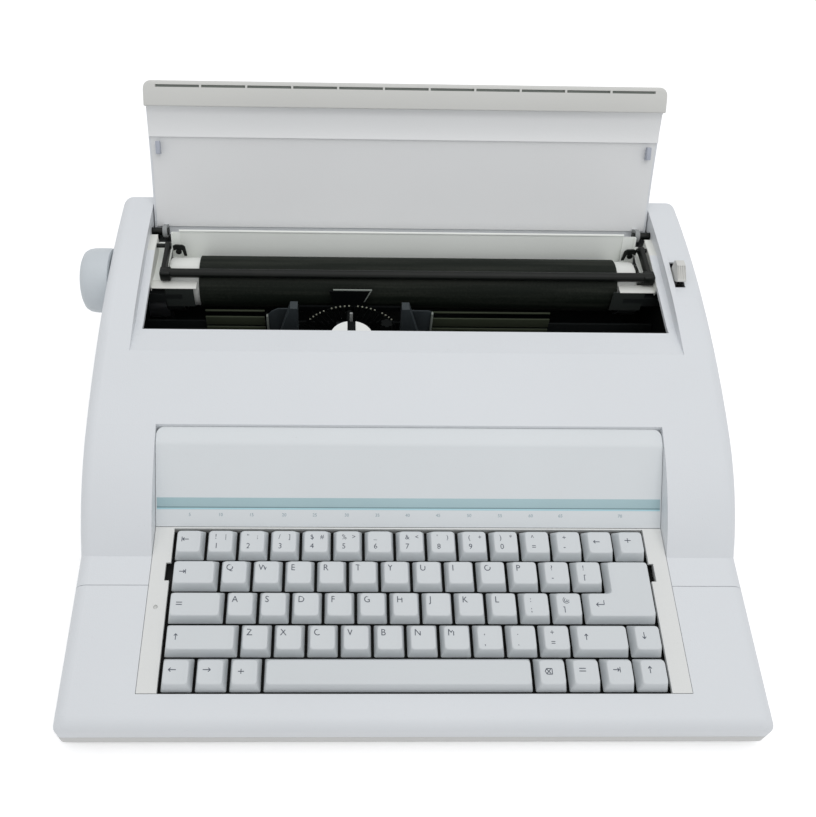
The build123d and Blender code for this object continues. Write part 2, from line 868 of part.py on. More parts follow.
def lid_pieces():
    """Lid skin with its hinge ears, the front bar with its row of slots, and the liner with two catches."""
    bar_back = lid_front_y + lid_bar_depth
    skin = slab_x(lid_band(bar_back, lid_back_y, cover_gap, lid_thickness), -lid_half_width, lid_half_width)
    for sign in (-1, 1):
        outer = sign * (bail_half_length + 1)
        inner = outer - sign * lid_ear_thickness
        roof = top_height(hinge_y) - cover_gap - lid_thickness / 2
        web = block(
            (min(outer, inner), hinge_y - lid_ear_radius, hinge_height), (max(outer, inner), lid_back_y - 0.5, roof)
        )
        ring = rod_x(min(outer, inner), max(outer, inner), hinge_y, hinge_height, lid_ear_radius)
        skin = skin + web + ring
        skin = skin - rod_x(
            min(outer, inner) - 1, max(outer, inner) + 1, hinge_y, hinge_height, hinge_pin_radius + pin_clearance
        )
    bar_half = lid_half_width + lid_bar_extra - cover_gap
    under = top_height(lid_front_y) - cover_gap - lid_thickness
    bar_top = [(y, top_height(y) - cover_gap) for y in (lid_front_y, (lid_front_y + bar_back) / 2, bar_back)]
    bar_outline = [
        ThreePointArc(*bar_top),
        Line(bar_top[2], (bar_back, under)),
        Line((bar_back, under), (lid_front_y, under)),
        Line((lid_front_y, under), bar_top[0]),
    ]
    bar = slab_x(bar_outline, -bar_half, bar_half)
    for index in range(lid_slot_count):
        x = (index - (lid_slot_count - 1) / 2) * lid_slot_pitch
        bar = bar - block(
            (x - lid_slot_length / 2, lid_front_y + lid_slot_inset, under - 1),
            (x + lid_slot_length / 2, lid_front_y + lid_slot_inset + lid_slot_width, under + 1.5),
        )
    liner = slab_x(
        lid_band(lid_liner_front_y, lid_liner_back_y, cover_gap + lid_thickness, lid_liner_thickness),
        -lid_liner_half_width,
        lid_liner_half_width,
    )
    catch_top = top_height(lid_catch_y) - cover_gap - lid_thickness
    for sign in (-1, 1):
        notch = sign * (lid_half_width - lid_catch_side_inset - lid_catch_thickness - lid_catch_gap)
        edge = sign * (lid_half_width + 1)
        liner = liner - block(
            (min(notch, edge), lid_liner_front_y - 1, catch_top - lid_catch_depth),
            (max(notch, edge), lid_catch_y + lid_catch_length / 2 + lid_catch_gap, catch_top + 1),
        )
        outer = sign * (lid_half_width - lid_catch_side_inset)
        inner = outer - sign * lid_catch_thickness
        skin = skin + block(
            (min(outer, inner), lid_catch_y - lid_catch_length / 2, catch_top - lid_catch_depth),
            (max(outer, inner), lid_catch_y + lid_catch_length / 2, catch_top + 0.5),
        )
    return lid_turn(skin), lid_turn(bar), lid_turn(liner)


def mechanism_pan():
    """Steel floor of the printing unit between the side frames."""
    low = foot_height + wall
    return block(
        (-frame_inner_x, frame_front_y, low), (frame_inner_x, frame_back_y, low + pan_thickness)
    )


def side_frame():
    """Right side frame with its bores; the left one is its mirror image."""
    low = foot_height + wall
    outline = Polyline(
        (frame_front_y, low),
        (frame_back_y, low),
        (frame_back_y, frame_top),
        (platen_y + 4, frame_top),
        (platen_y - 32, frame_top - 14),
        (frame_front_y, frame_front_height),
        close=True,
    )
    plate = slab_x([outline], frame_inner_x, frame_inner_x + frame_thickness)
    low_x = frame_inner_x - 1
    high_x = frame_inner_x + frame_thickness + 1
    plate = plate - rod_x(low_x, high_x, platen_y, platen_height, bush_radius)
    roller_y, roller_z = feed_place()
    plate = plate - rod_x(low_x, high_x, roller_y, roller_z, feed_shaft_radius + pin_clearance)
    return plate


def feed_place():
    """YZ centre of the feed rollers, under and behind the platen."""
    reach = platen_radius + feed_roller_radius + roller_gap
    turn = math.radians(feed_angle)
    return (platen_y + reach * math.sin(turn), platen_height - reach * math.cos(turn))


def pinion_place():
    """YZ centre of the motor pinion, straight under the platen."""
    return (platen_y, platen_height - gear_module * (gear_teeth + pinion_teeth) / 2)


def toothed_wheel(teeth, phase, width):
    """Gear with its axis on X at the origin; phase is the angle of one tooth in degrees."""
    pitch = gear_module * teeth / 2
    step = 360 / teeth
    points = []
    for index in range(teeth):
        centre = phase + index * step
        for share, radius in (
            (-0.28, pitch - 1.27 * gear_module),
            (-0.12, pitch + 0.87 * gear_module),
            (0.12, pitch + 0.87 * gear_module),
            (0.28, pitch - 1.27 * gear_module),
        ):
            angle = math.radians(centre + share * step)
            points.append((radius * math.cos(angle), radius * math.sin(angle)))
    return slab_x([Polyline(*points, close=True)], -width / 2, width / 2)


def platen_pieces():
    """Rubber, shaft, end caps, knob and gear that turn together, and the bushes that carry them."""
    y, z = platen_y, platen_height
    rubber = rod_x(platen_left, platen_right, y, z, platen_radius) - rod_x(
        platen_left - 1, platen_right + 1, y, z, platen_shaft_radius
    )
    knob_inner = -half_width - knob_gap
    knob_outer = knob_inner - knob_length
    shaft = rod_x(knob_outer + 6, frame_inner_x + frame_thickness + shaft_overhang, y, z, platen_shaft_radius)
    knob = rod_x(knob_outer, knob_inner, y, z, knob_radius)
    knob = fillet(knob.edges().group_by(Axis.X)[0], 4.0)
    knob = fillet(knob.edges().group_by(Axis.X)[-1], 1.0)
    for index in range(24):
        turn = Rot(index * 15, 0, 0)
        groove = Pos((knob_outer + knob_inner) / 2, 0, knob_radius + 0.8) * Rot(0, 90, 0) * Cylinder(1.6, knob_length + 2)
        knob = knob - Pos(0, y, z) * turn * groove
    knob = knob - shaft
    gear = Pos(-gear_x, y, z) * toothed_wheel(gear_teeth, -90, gear_width) - rod_x(
        -gear_x - gear_width, -gear_x + gear_width, y, z, platen_shaft_radius
    )
    caps = []
    for start, end in ((-end_cap_outer_x, platen_left - end_cap_gap), (platen_right + end_cap_gap, end_cap_outer_x)):
        cap = rod_x(start, end, y, z, end_cap_radius) - rod_x(start - 1, end + 1, y, z, platen_shaft_radius)
        caps.append(cap)
    bushes = []
    for sign in (-1, 1):
        inner = sign * frame_inner_x
        outer = sign * (frame_inner_x + frame_thickness)
        flange = inner - sign * 2.0
        bush = rod_x(min(inner, outer), max(inner, outer), y, z, bush_radius)
        bush = bush + rod_x(min(flange, inner), max(flange, inner), y, z, bush_flange_radius)
        bush = bush - rod_x(min(flange, outer) - 1, max(flange, outer) + 1, y, z, platen_shaft_radius + pin_clearance)
        bushes.append(bush)
    return rubber, shaft, group(caps), knob, gear, group(bushes)


def feed_pieces():
    """Feed rollers on their shaft, the motor and its pinion."""
    y, z = feed_place()
    rollers = []
    for index in range(feed_roller_count):
        x = (index - (feed_roller_count - 1) / 2) * feed_roller_pitch
        half = feed_roller_length / 2
        rollers.append(
            rod_x(x - half, x + half, y, z, feed_roller_radius) - rod_x(x - half - 1, x + half + 1, y, z, feed_shaft_radius)
        )
    end = frame_inner_x + frame_thickness
    shaft = rod_x(-end, end, y, z, feed_shaft_radius)
    py, pz = pinion_place()
    motor = rod_x(-frame_inner_x, -frame_inner_x + feed_motor_length, py, pz, feed_motor_radius)
    motor = motor - rod_x(-frame_inner_x - 1, -frame_inner_x + 12, py, pz, feed_motor_shaft_radius + pin_clearance)
    pinion = Pos(-gear_x, py, pz) * toothed_wheel(pinion_teeth, 90 + 180 / pinion_teeth, gear_width)
    pinion = pinion + rod_x(-gear_x, -frame_inner_x + 11, py, pz, feed_motor_shaft_radius)
    return group(rollers), shaft, motor, pinion


def paper_pan():
    """Curved sheet under and behind the platen with a chute that rises to the lid, and a window for each roller."""
    inner = platen_radius + paper_pan_gap
    outer = inner + paper_pan_thickness

    def sector(first, last):
        def at(radius, degrees):
            turn = math.radians(degrees)
            return (platen_y + radius * math.cos(turn), platen_height + radius * math.sin(turn))

        middle = (first + last) / 2
        return [
            ThreePointArc(at(inner, first), at(inner, middle), at(inner, last)),
            Line(at(inner, last), at(outer, last)),
            ThreePointArc(at(outer, last), at(outer, middle), at(outer, first)),
            Line(at(outer, first), at(inner, first)),
        ]

    pan = slab_x(sector(5, -75), -paper_pan_half_width, paper_pan_half_width)
    wings = slab_x(sector(5, -30), -frame_inner_x + cover_gap, frame_inner_x - cover_gap)
    shelf_front = platen_y - outer
    shelf_top = platen_height + guide_shelf_rise
    for sign in (-1, 1):
        near = sign * (frame_inner_x - guide_shelf_inset)
        far = sign * (frame_inner_x - cover_gap)
        trough_end = near + sign * guide_trough_length
        wings = wings + slab_x(sector(-29, -180), min(near, trough_end), max(near, trough_end))
        wings = wings + block(
            (min(near, far), shelf_front, platen_height - 0.5),
            (max(near, far), shelf_front + paper_pan_thickness, shelf_top),
        )
        cap_reach = math.sqrt(end_cap_radius**2 - (guide_shelf_rise - paper_pan_thickness) ** 2)
        for start, depth in (
            (near, platen_y - cap_reach - guide_shelf_gap),
            (sign * (end_cap_outer_x + guide_shelf_gap), platen_y - platen_shaft_radius - 2.5),
        ):
            wings = wings + block(
                (min(start, far), shelf_front, shelf_top - paper_pan_thickness), (max(start, far), depth, shelf_top)
            )
    foot_y = platen_y + inner
    foot_z = platen_height + 1.0
    chute = slab_x(
        [
            Polyline(
                (foot_y, foot_z),
                (foot_y + paper_pan_thickness, foot_z - 0.4),
                (chute_top_y + paper_pan_thickness, chute_top_height),
                (chute_top_y, chute_top_height),
                close=True,
            )
        ],
        -paper_pan_half_width,
        paper_pan_half_width,
    )
    lip = rod_x(
        -paper_pan_half_width,
        paper_pan_half_width,
        chute_top_y + paper_pan_thickness / 2,
        chute_top_height,
        chute_lip_radius,
    )
    sheet = pan + wings + chute + lip
    y, z = feed_place()
    reach = feed_roller_radius + 1
    for index in range(feed_roller_count):
        x = (index - (feed_roller_count - 1) / 2) * feed_roller_pitch
        half = feed_roller_length / 2 + 1
        sheet = sheet - block((x - half, y - reach, z - reach), (x + half, y + reach, z + reach))
    return sheet


def paper_strip():
    """Steel strip across the machine in front of the platen's underside."""
    half = frame_inner_x - cover_gap
    return block(
        (-half, paper_strip_y, paper_strip_top - paper_strip_height),
        (half, paper_strip_y + paper_strip_thickness, paper_strip_top),
    )


def bail_bar_place():
    """YZ centre of the bail bar, against the front of the platen."""
    reach = platen_radius + bail_gap + bail_bar_radius
    turn = math.radians(bail_bar_angle)
    return (platen_y + reach * math.cos(turn), platen_height + reach * math.sin(turn))


def paper_bail():
    """Round bar on two arms, with a block at each end."""
    y, z = bail_bar_place()
    pieces = [rod_x(-bail_half_length, bail_half_length, y, z, bail_bar_radius)]
    slope = math.degrees(math.atan2(bail_pivot_height - z, bail_pivot_y - y))
    length = math.dist((y, z), (bail_pivot_y, bail_pivot_height))
    for sign in (-1, 1):
        outer = sign * bail_half_length
        inner = outer - sign * bail_arm_thickness
        arm = block(
            (min(outer, inner), 0, -bail_arm_width / 2), (max(outer, inner), length, bail_arm_width / 2)
        )
        pieces.append(Pos(0, y, z) * Rot(slope, 0, 0) * arm)
        end = Box(bail_block_length, 2 * bail_block_half, 2 * bail_block_half)
        end = fillet(end.edges().filter_by(Axis.X), 2.0)
        middle = sign * (well_half_width - bail_block_gap - bail_block_length / 2)
        pieces.append(Pos(middle, y, z - bail_block_drop) * Rot(slope, 0, 0) * end)
        pieces.append(rod_x(min(outer, inner), max(outer, inner), bail_pivot_y, bail_pivot_height, bail_arm_width / 2))
    bail = join(pieces)
    for sign in (-1, 1):
        outer = sign * bail_half_length
        inner = outer - sign * bail_arm_thickness
        bail = bail - rod_x(
            min(outer, inner) - 1, max(outer, inner) + 1, bail_pivot_y, bail_pivot_height, bail_pin_radius + pin_clearance
        )
    return bail


def pivot_pins():
    """Two lid hinge pins and two bail pins, riveted to the side frames."""
    pins = []
    for sign in (-1, 1):
        frame = sign * frame_inner_x
        hinge_inner = sign * (bail_half_length + 1 - lid_ear_thickness - 1)
        bail_inner = sign * (bail_half_length - bail_arm_thickness)
        pins.append(rod_x(min(frame, hinge_inner), max(frame, hinge_inner), hinge_y, hinge_height, hinge_pin_radius))
        pins.append(rod_x(min(frame, bail_inner), max(frame, bail_inner), bail_pivot_y, bail_pivot_height, bail_pin_radius))
    return group(pins)


def rails():
    main = rod_x(-frame_inner_x, frame_inner_x, main_rail_y, rail_height, main_rail_radius)
    front = rod_x(-frame_inner_x, frame_inner_x, front_rail_y, rail_height, front_rail_radius)
    return main, front


wheel_height = platen_height + wheel_top_overlap - wheel_radius


def carriage_frame():
    """Base plate with two bearings, a front shoe, a belt clamp and the upright for the motor and hammer."""
    x = carriage_x
    floor = carriage_floor
    deck = floor + carriage_plate
    base = block((x - carriage_half_width, carriage_front_y, floor), (x + carriage_half_width, upright_y + 6, deck))
    for sign in (-1, 1):
        foot_low = x + sign * ribbon_arm_inner
        foot_high = x + sign * (ribbon_arm_inner + ribbon_arm_foot)
        base = base + block(
            (min(foot_low, foot_high), upright_y, floor), (max(foot_low, foot_high), carriage_back_y, deck)
        )
        middle = x + sign * bearing_offset
        base = base + block(
            (middle - bearing_width / 2, main_rail_y - bearing_depth / 2, floor),
            (middle + bearing_width / 2, main_rail_y + bearing_depth / 2, rail_height + main_rail_radius + 4),
        )
    base = base + block(
        (x - 12, front_rail_y - 8, floor), (x + 12, front_rail_y + 8, rail_height + front_rail_radius + 4)
    )
    base = base - rod_x(x - 60, x + 60, main_rail_y, rail_height, main_rail_radius + pin_clearance)
    base = base - block(
        (x - 13, front_rail_y - 9, rail_height - front_rail_radius - cover_gap),
        (x + 13, front_rail_y + front_rail_radius + 1, rail_height + front_rail_radius + cover_gap),
    )
    shelf_z = platen_height - solenoid_half_height
    base = base + block(
        (x - upright_half_width, upright_y, floor), (x + upright_half_width, upright_y + upright_thickness, shelf_z - 2)
    )
    base = base + block(
        (x - solenoid_half_width - 3, upright_y - 16, shelf_z - 2), (x + solenoid_half_width + 3, upright_y + 6, shelf_z)
    )
    clamp_y = belt_y - pulley_radius - belt_thickness - cover_gap
    base = base + block((x - 10, clamp_y - 4, belt_height - belt_width / 2), (x + 10, clamp_y, floor))
    return base - rod_z(x + spindle_offset, spindle_y, floor - 1, deck + 1, spindle_radius + pin_clearance)


def spindle_ear():
    """Ear that carries the ribbon spindle beside the upright."""
    x = carriage_x + spindle_offset
    ear = block((x - 6, upright_y + 6, carriage_floor), (x + 6, spindle_y + 5, carriage_floor + carriage_plate))
    return ear - rod_z(x, spindle_y, carriage_floor - 1, carriage_floor + carriage_plate + 1, spindle_radius + pin_clearance)


def ribbon_arms():
    """Two upright arms that hold the ribbon cassette."""
    arms = []
    for sign in (-1, 1):
        x = carriage_x + sign * ribbon_arm_inner
        foot = carriage_floor + carriage_plate
        outline = Polyline(
            (x, foot),
            (x + sign * ribbon_arm_foot, foot),
            (x + sign * ribbon_arm_foot, ribbon_arm_knee),
            (x + sign * ribbon_arm_tip, ribbon_arm_top),
            (x, ribbon_arm_top),
            close=True,
        )
        arms.append(slab_y([outline], carriage_back_y - ribbon_arm_depth, carriage_back_y))
    return arms


def card_holder():
    """Clear card in front of the platen on a bar between the ribbon arms."""
    x = carriage_x
    card_back = platen_y - platen_radius - card_gap
    low = platen_height - card_height / 2 + card_rise
    bar_low = low - card_bar_height
    span = ribbon_arm_inner + ribbon_arm_tip
    bar = block((x - span, card_back - 3, bar_low), (x + span, card_back - 1.2, low))
    plate = slab_y(
        [
            Polyline(
                (x - card_half_width * 0.7, bar_low),
                (x + card_half_width * 0.7, bar_low),
                (x + card_half_width, low + card_height),
                (x - card_half_width, low + card_height),
                close=True,
            )
        ],
        card_back - 1.2,
        card_back - 1.2 + card_thickness,
    )
    holder = bar + plate
    for sign in (-1, 1):
        inner = x + sign * ribbon_arm_inner
        outer = x + sign * span
        holder = holder + block(
            (min(inner, outer), carriage_back_y, bar_low), (max(inner, outer), card_back - 2, low)
        )
    return holder


def print_wheel_pieces():
    """Daisy wheel with its shaft, its motor, the print hammer and its solenoid."""
    x = carriage_x
    z = wheel_height
    step = 360 / wheel_petals
    points = []
    for index in range(wheel_petals):
        for share, radius in ((-0.34, wheel_hub_radius), (-0.26, wheel_radius), (0.26, wheel_radius), (0.34, wheel_hub_radius)):
            angle = math.radians(90 + (index + share) * step)
            points.append((x + radius * math.cos(angle), z + radius * math.sin(angle)))
    wheel = slab_y([Polyline(*points, close=True)], wheel_y, wheel_y + wheel_thickness)
    motor_front = upright_y + upright_thickness
    motor_back = motor_front + wheel_motor_length
    wheel = wheel + rod_y(x, motor_back + 1, wheel_y, z, 6.0)
    wheel = wheel + rod_y(x, motor_back - 8, motor_back + 1, z, wheel_shaft_radius)
    motor = rod_y(x, motor_front, motor_back, z, wheel_motor_radius)
    motor = motor - rod_y(x, motor_back - 9, motor_back + 1, z, wheel_shaft_radius + pin_clearance)
    tip = wheel_y - hammer_gap
    tail = upright_y - 16 + 2
    hammer = rod_y(x, tail, tip, platen_height, hammer_radius)
    shelf_z = platen_height - solenoid_half_height
    solenoid = block(
        (x - solenoid_half_width, upright_y - 16, shelf_z),
        (x + solenoid_half_width, upright_y - 16 + solenoid_length, platen_height + solenoid_half_height),
    )
    solenoid = solenoid - rod_y(x, tail - 1, tip, platen_height, hammer_radius + pin_clearance)
    return wheel, motor, hammer, solenoid


def ribbon_spindle():
    x = carriage_x + spindle_offset
    spindle = rod_z(x, spindle_y, carriage_floor, spindle_top - 6, spindle_radius)
    collar = rod_z(x, spindle_y, carriage_floor + carriage_plate + cover_gap, carriage_floor + carriage_plate + 3, 4.5)
    head = rod_z(x, spindle_y, spindle_top - 6, spindle_top, spindle_head_radius)
    for index in range(6):
        turn = math.radians(index * 60)
        notch = rod_z(
            x + spindle_head_radius * math.cos(turn),
            spindle_y + spindle_head_radius * math.sin(turn),
            spindle_top - 5,
            spindle_top + 1,
            0.9,
        )
        head = head - notch
    return spindle + collar + head


def pulley(x):
    low = belt_height - pulley_height / 2
    wheel = rod_z(x, belt_y, low, low + pulley_height, pulley_radius + 1.5)
    groove = rod_z(x, belt_y, belt_height - belt_width / 2, belt_height + belt_width / 2, pulley_radius + 3)
    core = rod_z(x, belt_y, low, low + pulley_height, pulley_radius - cover_gap)
    return wheel - (groove - core) - rod_z(x, belt_y, low - 1, low + pulley_height + 1, pulley_post_radius + pin_clearance)


def drive_belt():
    """Closed belt round the two pulleys, in a level plane."""
    span = drive_pulley_x - idler_pulley_x
    middle = (drive_pulley_x + idler_pulley_x) / 2

    def loop(radius, height):
        shape = SlotCenterToCenter(span, 2 * radius)
        return Pos(middle, belt_y, belt_height - height / 2) * extrude(shape, height)

    return loop(pulley_radius + belt_thickness, belt_width) - loop(pulley_radius, 2 * belt_width)


def drive_motor_and_post():
    """Motor under the drive pulley with its shaft, and the idler's post."""
    floor = foot_height + wall + pan_thickness
    pulley_low = belt_height - pulley_height / 2
    pulley_high = belt_height + pulley_height / 2
    motor = rod_z(drive_pulley_x, belt_y, floor, pulley_low - cover_gap, carriage_motor_radius)
    motor = motor + rod_z(drive_pulley_x, belt_y, pulley_low - cover_gap, pulley_high, pulley_post_radius)
    post = rod_z(idler_pulley_x, belt_y, floor, pulley_low - cover_gap, 5.0)
    post = post + rod_z(idler_pulley_x, belt_y, pulley_low - cover_gap, pulley_high, pulley_post_radius)
    return motor, post


def main_board():
    low = foot_height + wall + board_post_height
    return block((board_left, board_y, low), (board_right, board_y + board_depth, low + board_thickness))


def board_parts():
    """Chips, a heat sink and capacitors on the main board, placed by shares of its width and depth."""
    top = foot_height + wall + board_post_height + board_thickness
    span = board_right - board_left
    pieces = []
    for across, along, width, depth, height in (
        (0.16, 0.45, 0.20, 0.35, 4),
        (0.40, 0.30, 0.145, 0.30, 4),
        (0.585, 0.30, 0.145, 0.30, 4),
        (0.40, 0.75, 0.07, 0.17, 3.5),
        (0.525, 0.75, 0.07, 0.17, 3.5),
        (0.85, 0.55, 0.105, 0.40, 14),
    ):
        x = board_left + across * span
        y = board_y + along * board_depth
        half_x = width * span / 2
        half_y = depth * board_depth / 2
        pieces.append(block((x - half_x, y - half_y, top), (x + half_x, y + half_y, top + height)))
    for across, along, radius, height in ((0.725, 0.75, 6, 16), (0.95, 0.3, 6, 16), (0.95, 0.725, 4, 10)):
        pieces.append(rod_z(board_left + across * span, board_y + along * board_depth, top, top + height, radius))
    return pieces


def transformer():
    """Laminated core with its winding."""
    low = foot_height + wall
    x = transformer_x
    y = board_y + board_depth / 2
    core = block(
        (x - transformer_width / 2, y - transformer_depth / 4, low),
        (x + transformer_width / 2, y + transformer_depth / 4, low + transformer_height),
    )
    limb = coil_width / 2 - coil_overhang
    for sign in (-1, 1):
        inner = x + sign * limb
        outer = x + sign * coil_width / 2
        core = core - block(
            (min(inner, outer), y - transformer_depth, low + 6),
            (max(inner, outer), y + transformer_depth, low + transformer_height - 6),
        )
    coil = block(
        (x - coil_width / 2, y - transformer_depth / 2, low + 6), (x + coil_width / 2, y + transformer_depth / 2, low + transformer_height - 6)
    )
    coil = coil - block(
        (x - limb, y - transformer_depth / 4, low), (x + limb, y + transformer_depth / 4, low + transformer_height)
    )
    return core, coil


def power_inlet():
    """Socket in the back wall with a flange outside and its recess open to the back."""
    width = inlet_width - 2 * cover_gap
    height = inlet_height - 2 * cover_gap
    body = block(
        (inlet_x - width / 2, case_depth - inlet_depth, inlet_z - height / 2),
        (inlet_x + width / 2, case_depth, inlet_z + height / 2),
    )
    flange = block(
        (inlet_x - width / 2 - inlet_flange, case_depth, inlet_z - height / 2 - inlet_flange),
        (inlet_x + width / 2 + inlet_flange, case_depth + 1.5, inlet_z + height / 2 + inlet_flange),
    )
    socket = block(
        (inlet_x - width / 2 + 2, case_depth - inlet_depth + 4, inlet_z - height / 2 + 2),
        (inlet_x + width / 2 - 2, case_depth + 3, inlet_z + height / 2 - 2),
    )
    inlet = body + flange - socket
    for offset_x, offset_z in ((-6, -1.5), (0, 2.0), (6, -1.5)):
        inlet = inlet + block(
            (inlet_x + offset_x - 1, case_depth - inlet_depth + 2, inlet_z + offset_z - 2),
            (inlet_x + offset_x + 1, case_depth - 5, inlet_z + offset_z + 2),
        )
    return inlet


def power_switch():
    """Switch housing in the back wall, and its rocker on two trunnions."""
    width = switch_width - 2 * cover_gap
    height = switch_height - 2 * cover_gap
    housing = block(
        (switch_x - width / 2, case_depth - switch_depth, inlet_z - height / 2),
        (switch_x + width / 2, case_depth, inlet_z + height / 2),
    )
    housing = housing + block(
        (switch_x - width / 2 - 2, case_depth, inlet_z - height / 2 - 2),
        (switch_x + width / 2 + 2, case_depth + 1.2, inlet_z + height / 2 + 2),
    )
    hollow_half = width / 2 - 2
    hollow_height = height / 2 - 1
    housing = housing - block(
        (switch_x - hollow_half, case_depth - switch_depth + 3, inlet_z - hollow_height),
        (switch_x + hollow_half, case_depth + 3, inlet_z + hollow_height),
    )
    pivot_y = case_depth - 3.0
    trunnion = 1.5
    housing = housing - rod_x(
        switch_x - hollow_half - 1.2, switch_x + hollow_half + 1.2, pivot_y, inlet_z, trunnion + pin_clearance
    )
    reach = hollow_height - 0.5
    rocker_outline = Polyline(
        (pivot_y - 3.2, inlet_z),
        (pivot_y + 1.5, inlet_z + reach - 0.8),
        (pivot_y + 4.0, inlet_z + reach - 0.8),
        (pivot_y + 2.8, inlet_z),
        (pivot_y + 4.0, inlet_z - reach + 0.8),
        (pivot_y + 1.5, inlet_z - reach + 0.8),
        close=True,
    )
    rocker_half = hollow_half - cover_gap
    rocker = slab_x([rocker_outline], switch_x - rocker_half, switch_x + rocker_half)
    rocker = rocker + rod_x(switch_x - hollow_half - 1, switch_x + hollow_half + 1, pivot_y, inlet_z, trunnion)
    rocker = rocker.rotate(Axis((0, pivot_y, inlet_z), (1, 0, 0)), -rocker_angle)
    return housing, rocker


def release_lever():
    """Paper release lever on the right side frame, with a ribbed thumb piece in the cover's slot."""
    low = release_x - release_thickness / 2
    high = release_x + release_thickness / 2
    y, z = release_pivot_y, release_pivot_height
    half = release_width / 2
    tip = release_tip_height
    toe = tip - 5.8
    lever = block((low, y - half, z), (high, y + half, toe))
    head = Polyline(
        (y - half, toe - 8),
        (y - release_head_run, toe - 1.2),
        (y - release_head_run, toe),
        (y - half - 0.8, tip),
        (y + half - 1.6, tip),
        (y + half - 0.6, tip - 1.2),
        (y + half, toe - 8),
        close=True,
    )
    lever = lever + slab_x([head], release_x - release_head_half, release_x + release_head_half)
    for index in range(4):
        middle = release_x + (index - 1.5) * 1.4
        groove = Polyline(
            (y - release_head_run - 1, toe + 0.2),
            (y - release_head_run + 1.2, toe + 0.2),
            (y - half - 0.8, tip - 1.0),
            (y - half - 0.8, tip + 1.0),
            (y - release_head_run - 1, tip + 1.0),
            close=True,
        )
        lever = lever - slab_x([groove], middle - 0.3, middle + 0.3)
    lever = lever + rod_x(low, high, y, z, release_width / 2 + 1.5)
    lever = lever - rod_x(low - 1, high + 1, y, z, release_pin_radius + pin_clearance)
    pin_start = frame_inner_x + frame_thickness
    pin = rod_x(pin_start, high + 1, y, z, release_pin_radius)
    pin = pin + rod_x(high + cover_gap, high + 1.5, y, z, release_pin_radius + 1.5)
    pin = pin + rod_x(pin_start, low - cover_gap, y, z, release_pin_radius + 1.5)
    return lever, pin


def build_all():
    """Every node of the typewriter in the case's own frame."""
    nodes = {}
    nodes["lower_case"] = lower_case()
    nodes["rubber_feet"] = rubber_feet()
    nodes["case_screws"] = case_screws()
    nodes["front_frame"] = front_frame()
    nodes["upper_cover"] = upper_cover()
    nodes["keyboard_bezel"] = keyboard_bezel()
    nodes["label_panel"] = label_panel()
    caps, stems = key_pieces()
    for node, pieces in caps.items():
        nodes[node] = group([keyboard_place * piece for piece in pieces])
    nodes["key_plate"], nodes["dome_sheet"], nodes["switch_board"] = keyboard_layers(stems)
    nodes["lid"], nodes["lid_front_bar"], nodes["lid_liner"] = lid_pieces()
    right = side_frame()
    py, pz = pinion_place()
    left = mirror_x(right) - rod_x(-frame_inner_x - 5, -frame_inner_x + 1, py, pz, 3.0)
    nodes["left_side_frame"] = left
    nodes["right_side_frame"] = right
    rubber, shaft, end_caps, knob, gear, bushes = platen_pieces()
    nodes["platen_rubber"] = rubber
    nodes["platen_shaft"] = shaft
    nodes["platen_end_caps"] = end_caps
    nodes["platen_knob"] = knob
    nodes["platen_gear"] = gear
    nodes["platen_bushes"] = bushes
    rollers, feed_shaft, nodes["feed_motor"], nodes["feed_pinion"] = feed_pieces()
    nodes["feed_rollers"] = group([feed_shaft, rollers])
    nodes["paper_guides"] = group([paper_pan(), paper_strip()])
    nodes["paper_bail"] = paper_bail()
    nodes["release_lever"], release_pin = release_lever()
    nodes["pivot_pins"] = group([pivot_pins(), release_pin])
    nodes["carriage_rails"] = group(rails())
    nodes["carriage_frame"] = join([carriage_frame(), spindle_ear()] + ribbon_arms())
    nodes["card_holder"] = card_holder()
    wheel, wheel_motor, hammer, solenoid = print_wheel_pieces()
    nodes["daisy_wheel"] = wheel
    nodes["wheel_motor"] = wheel_motor
    nodes["print_hammer"] = hammer
    nodes["hammer_solenoid"] = solenoid
    nodes["ribbon_spindle"] = ribbon_spindle()
    nodes["drive_pulley"] = pulley(drive_pulley_x)
    nodes["idler_pulley"] = pulley(idler_pulley_x)
    nodes["drive_belt"] = drive_belt()
    nodes["carriage_motor"], idler_post = drive_motor_and_post()
    nodes["mechanism_pan"] = mechanism_pan() + idler_post
    nodes["main_board"] = group([main_board()] + board_parts())
    nodes["transformer"] = group(transformer())
    nodes["power_inlet"] = power_inlet()
    nodes["switch_housing"], nodes["power_rocker"] = power_switch()
    return nodes


def origin_shift(nodes):
    """Vector from the origin of the part to the case's own origin."""
    boxes = [shape.bounding_box() for shape in nodes.values()]
    middle_x = (min(box.min.X for box in boxes) + max(box.max.X for box in boxes)) / 2
    middle_y = (min(box.min.Y for box in boxes) + max(box.max.Y for box in boxes)) / 2
    return (-middle_x, -middle_y, -min(box.min.Z for box in boxes))


parts = build_all()
shift = origin_shift(parts)
os.makedirs("parts", exist_ok=True)
for name, shape in parts.items():
    export_step(Pos(*shift) * shape, f"parts/{name}.step")
print("nodes", len(parts), "shift", [round(v, 4) for v in shift])
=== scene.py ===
"""Looks of the electronic typewriter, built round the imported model.

Shapes are worked out in millimetres in the case's own frame (x from the middle of the case, y from its front face, z
from the table) and placed into the model's frame in metres.
"""

import bmesh
import bpy
import math
import numpy as np
from mathutils import Matrix, Vector


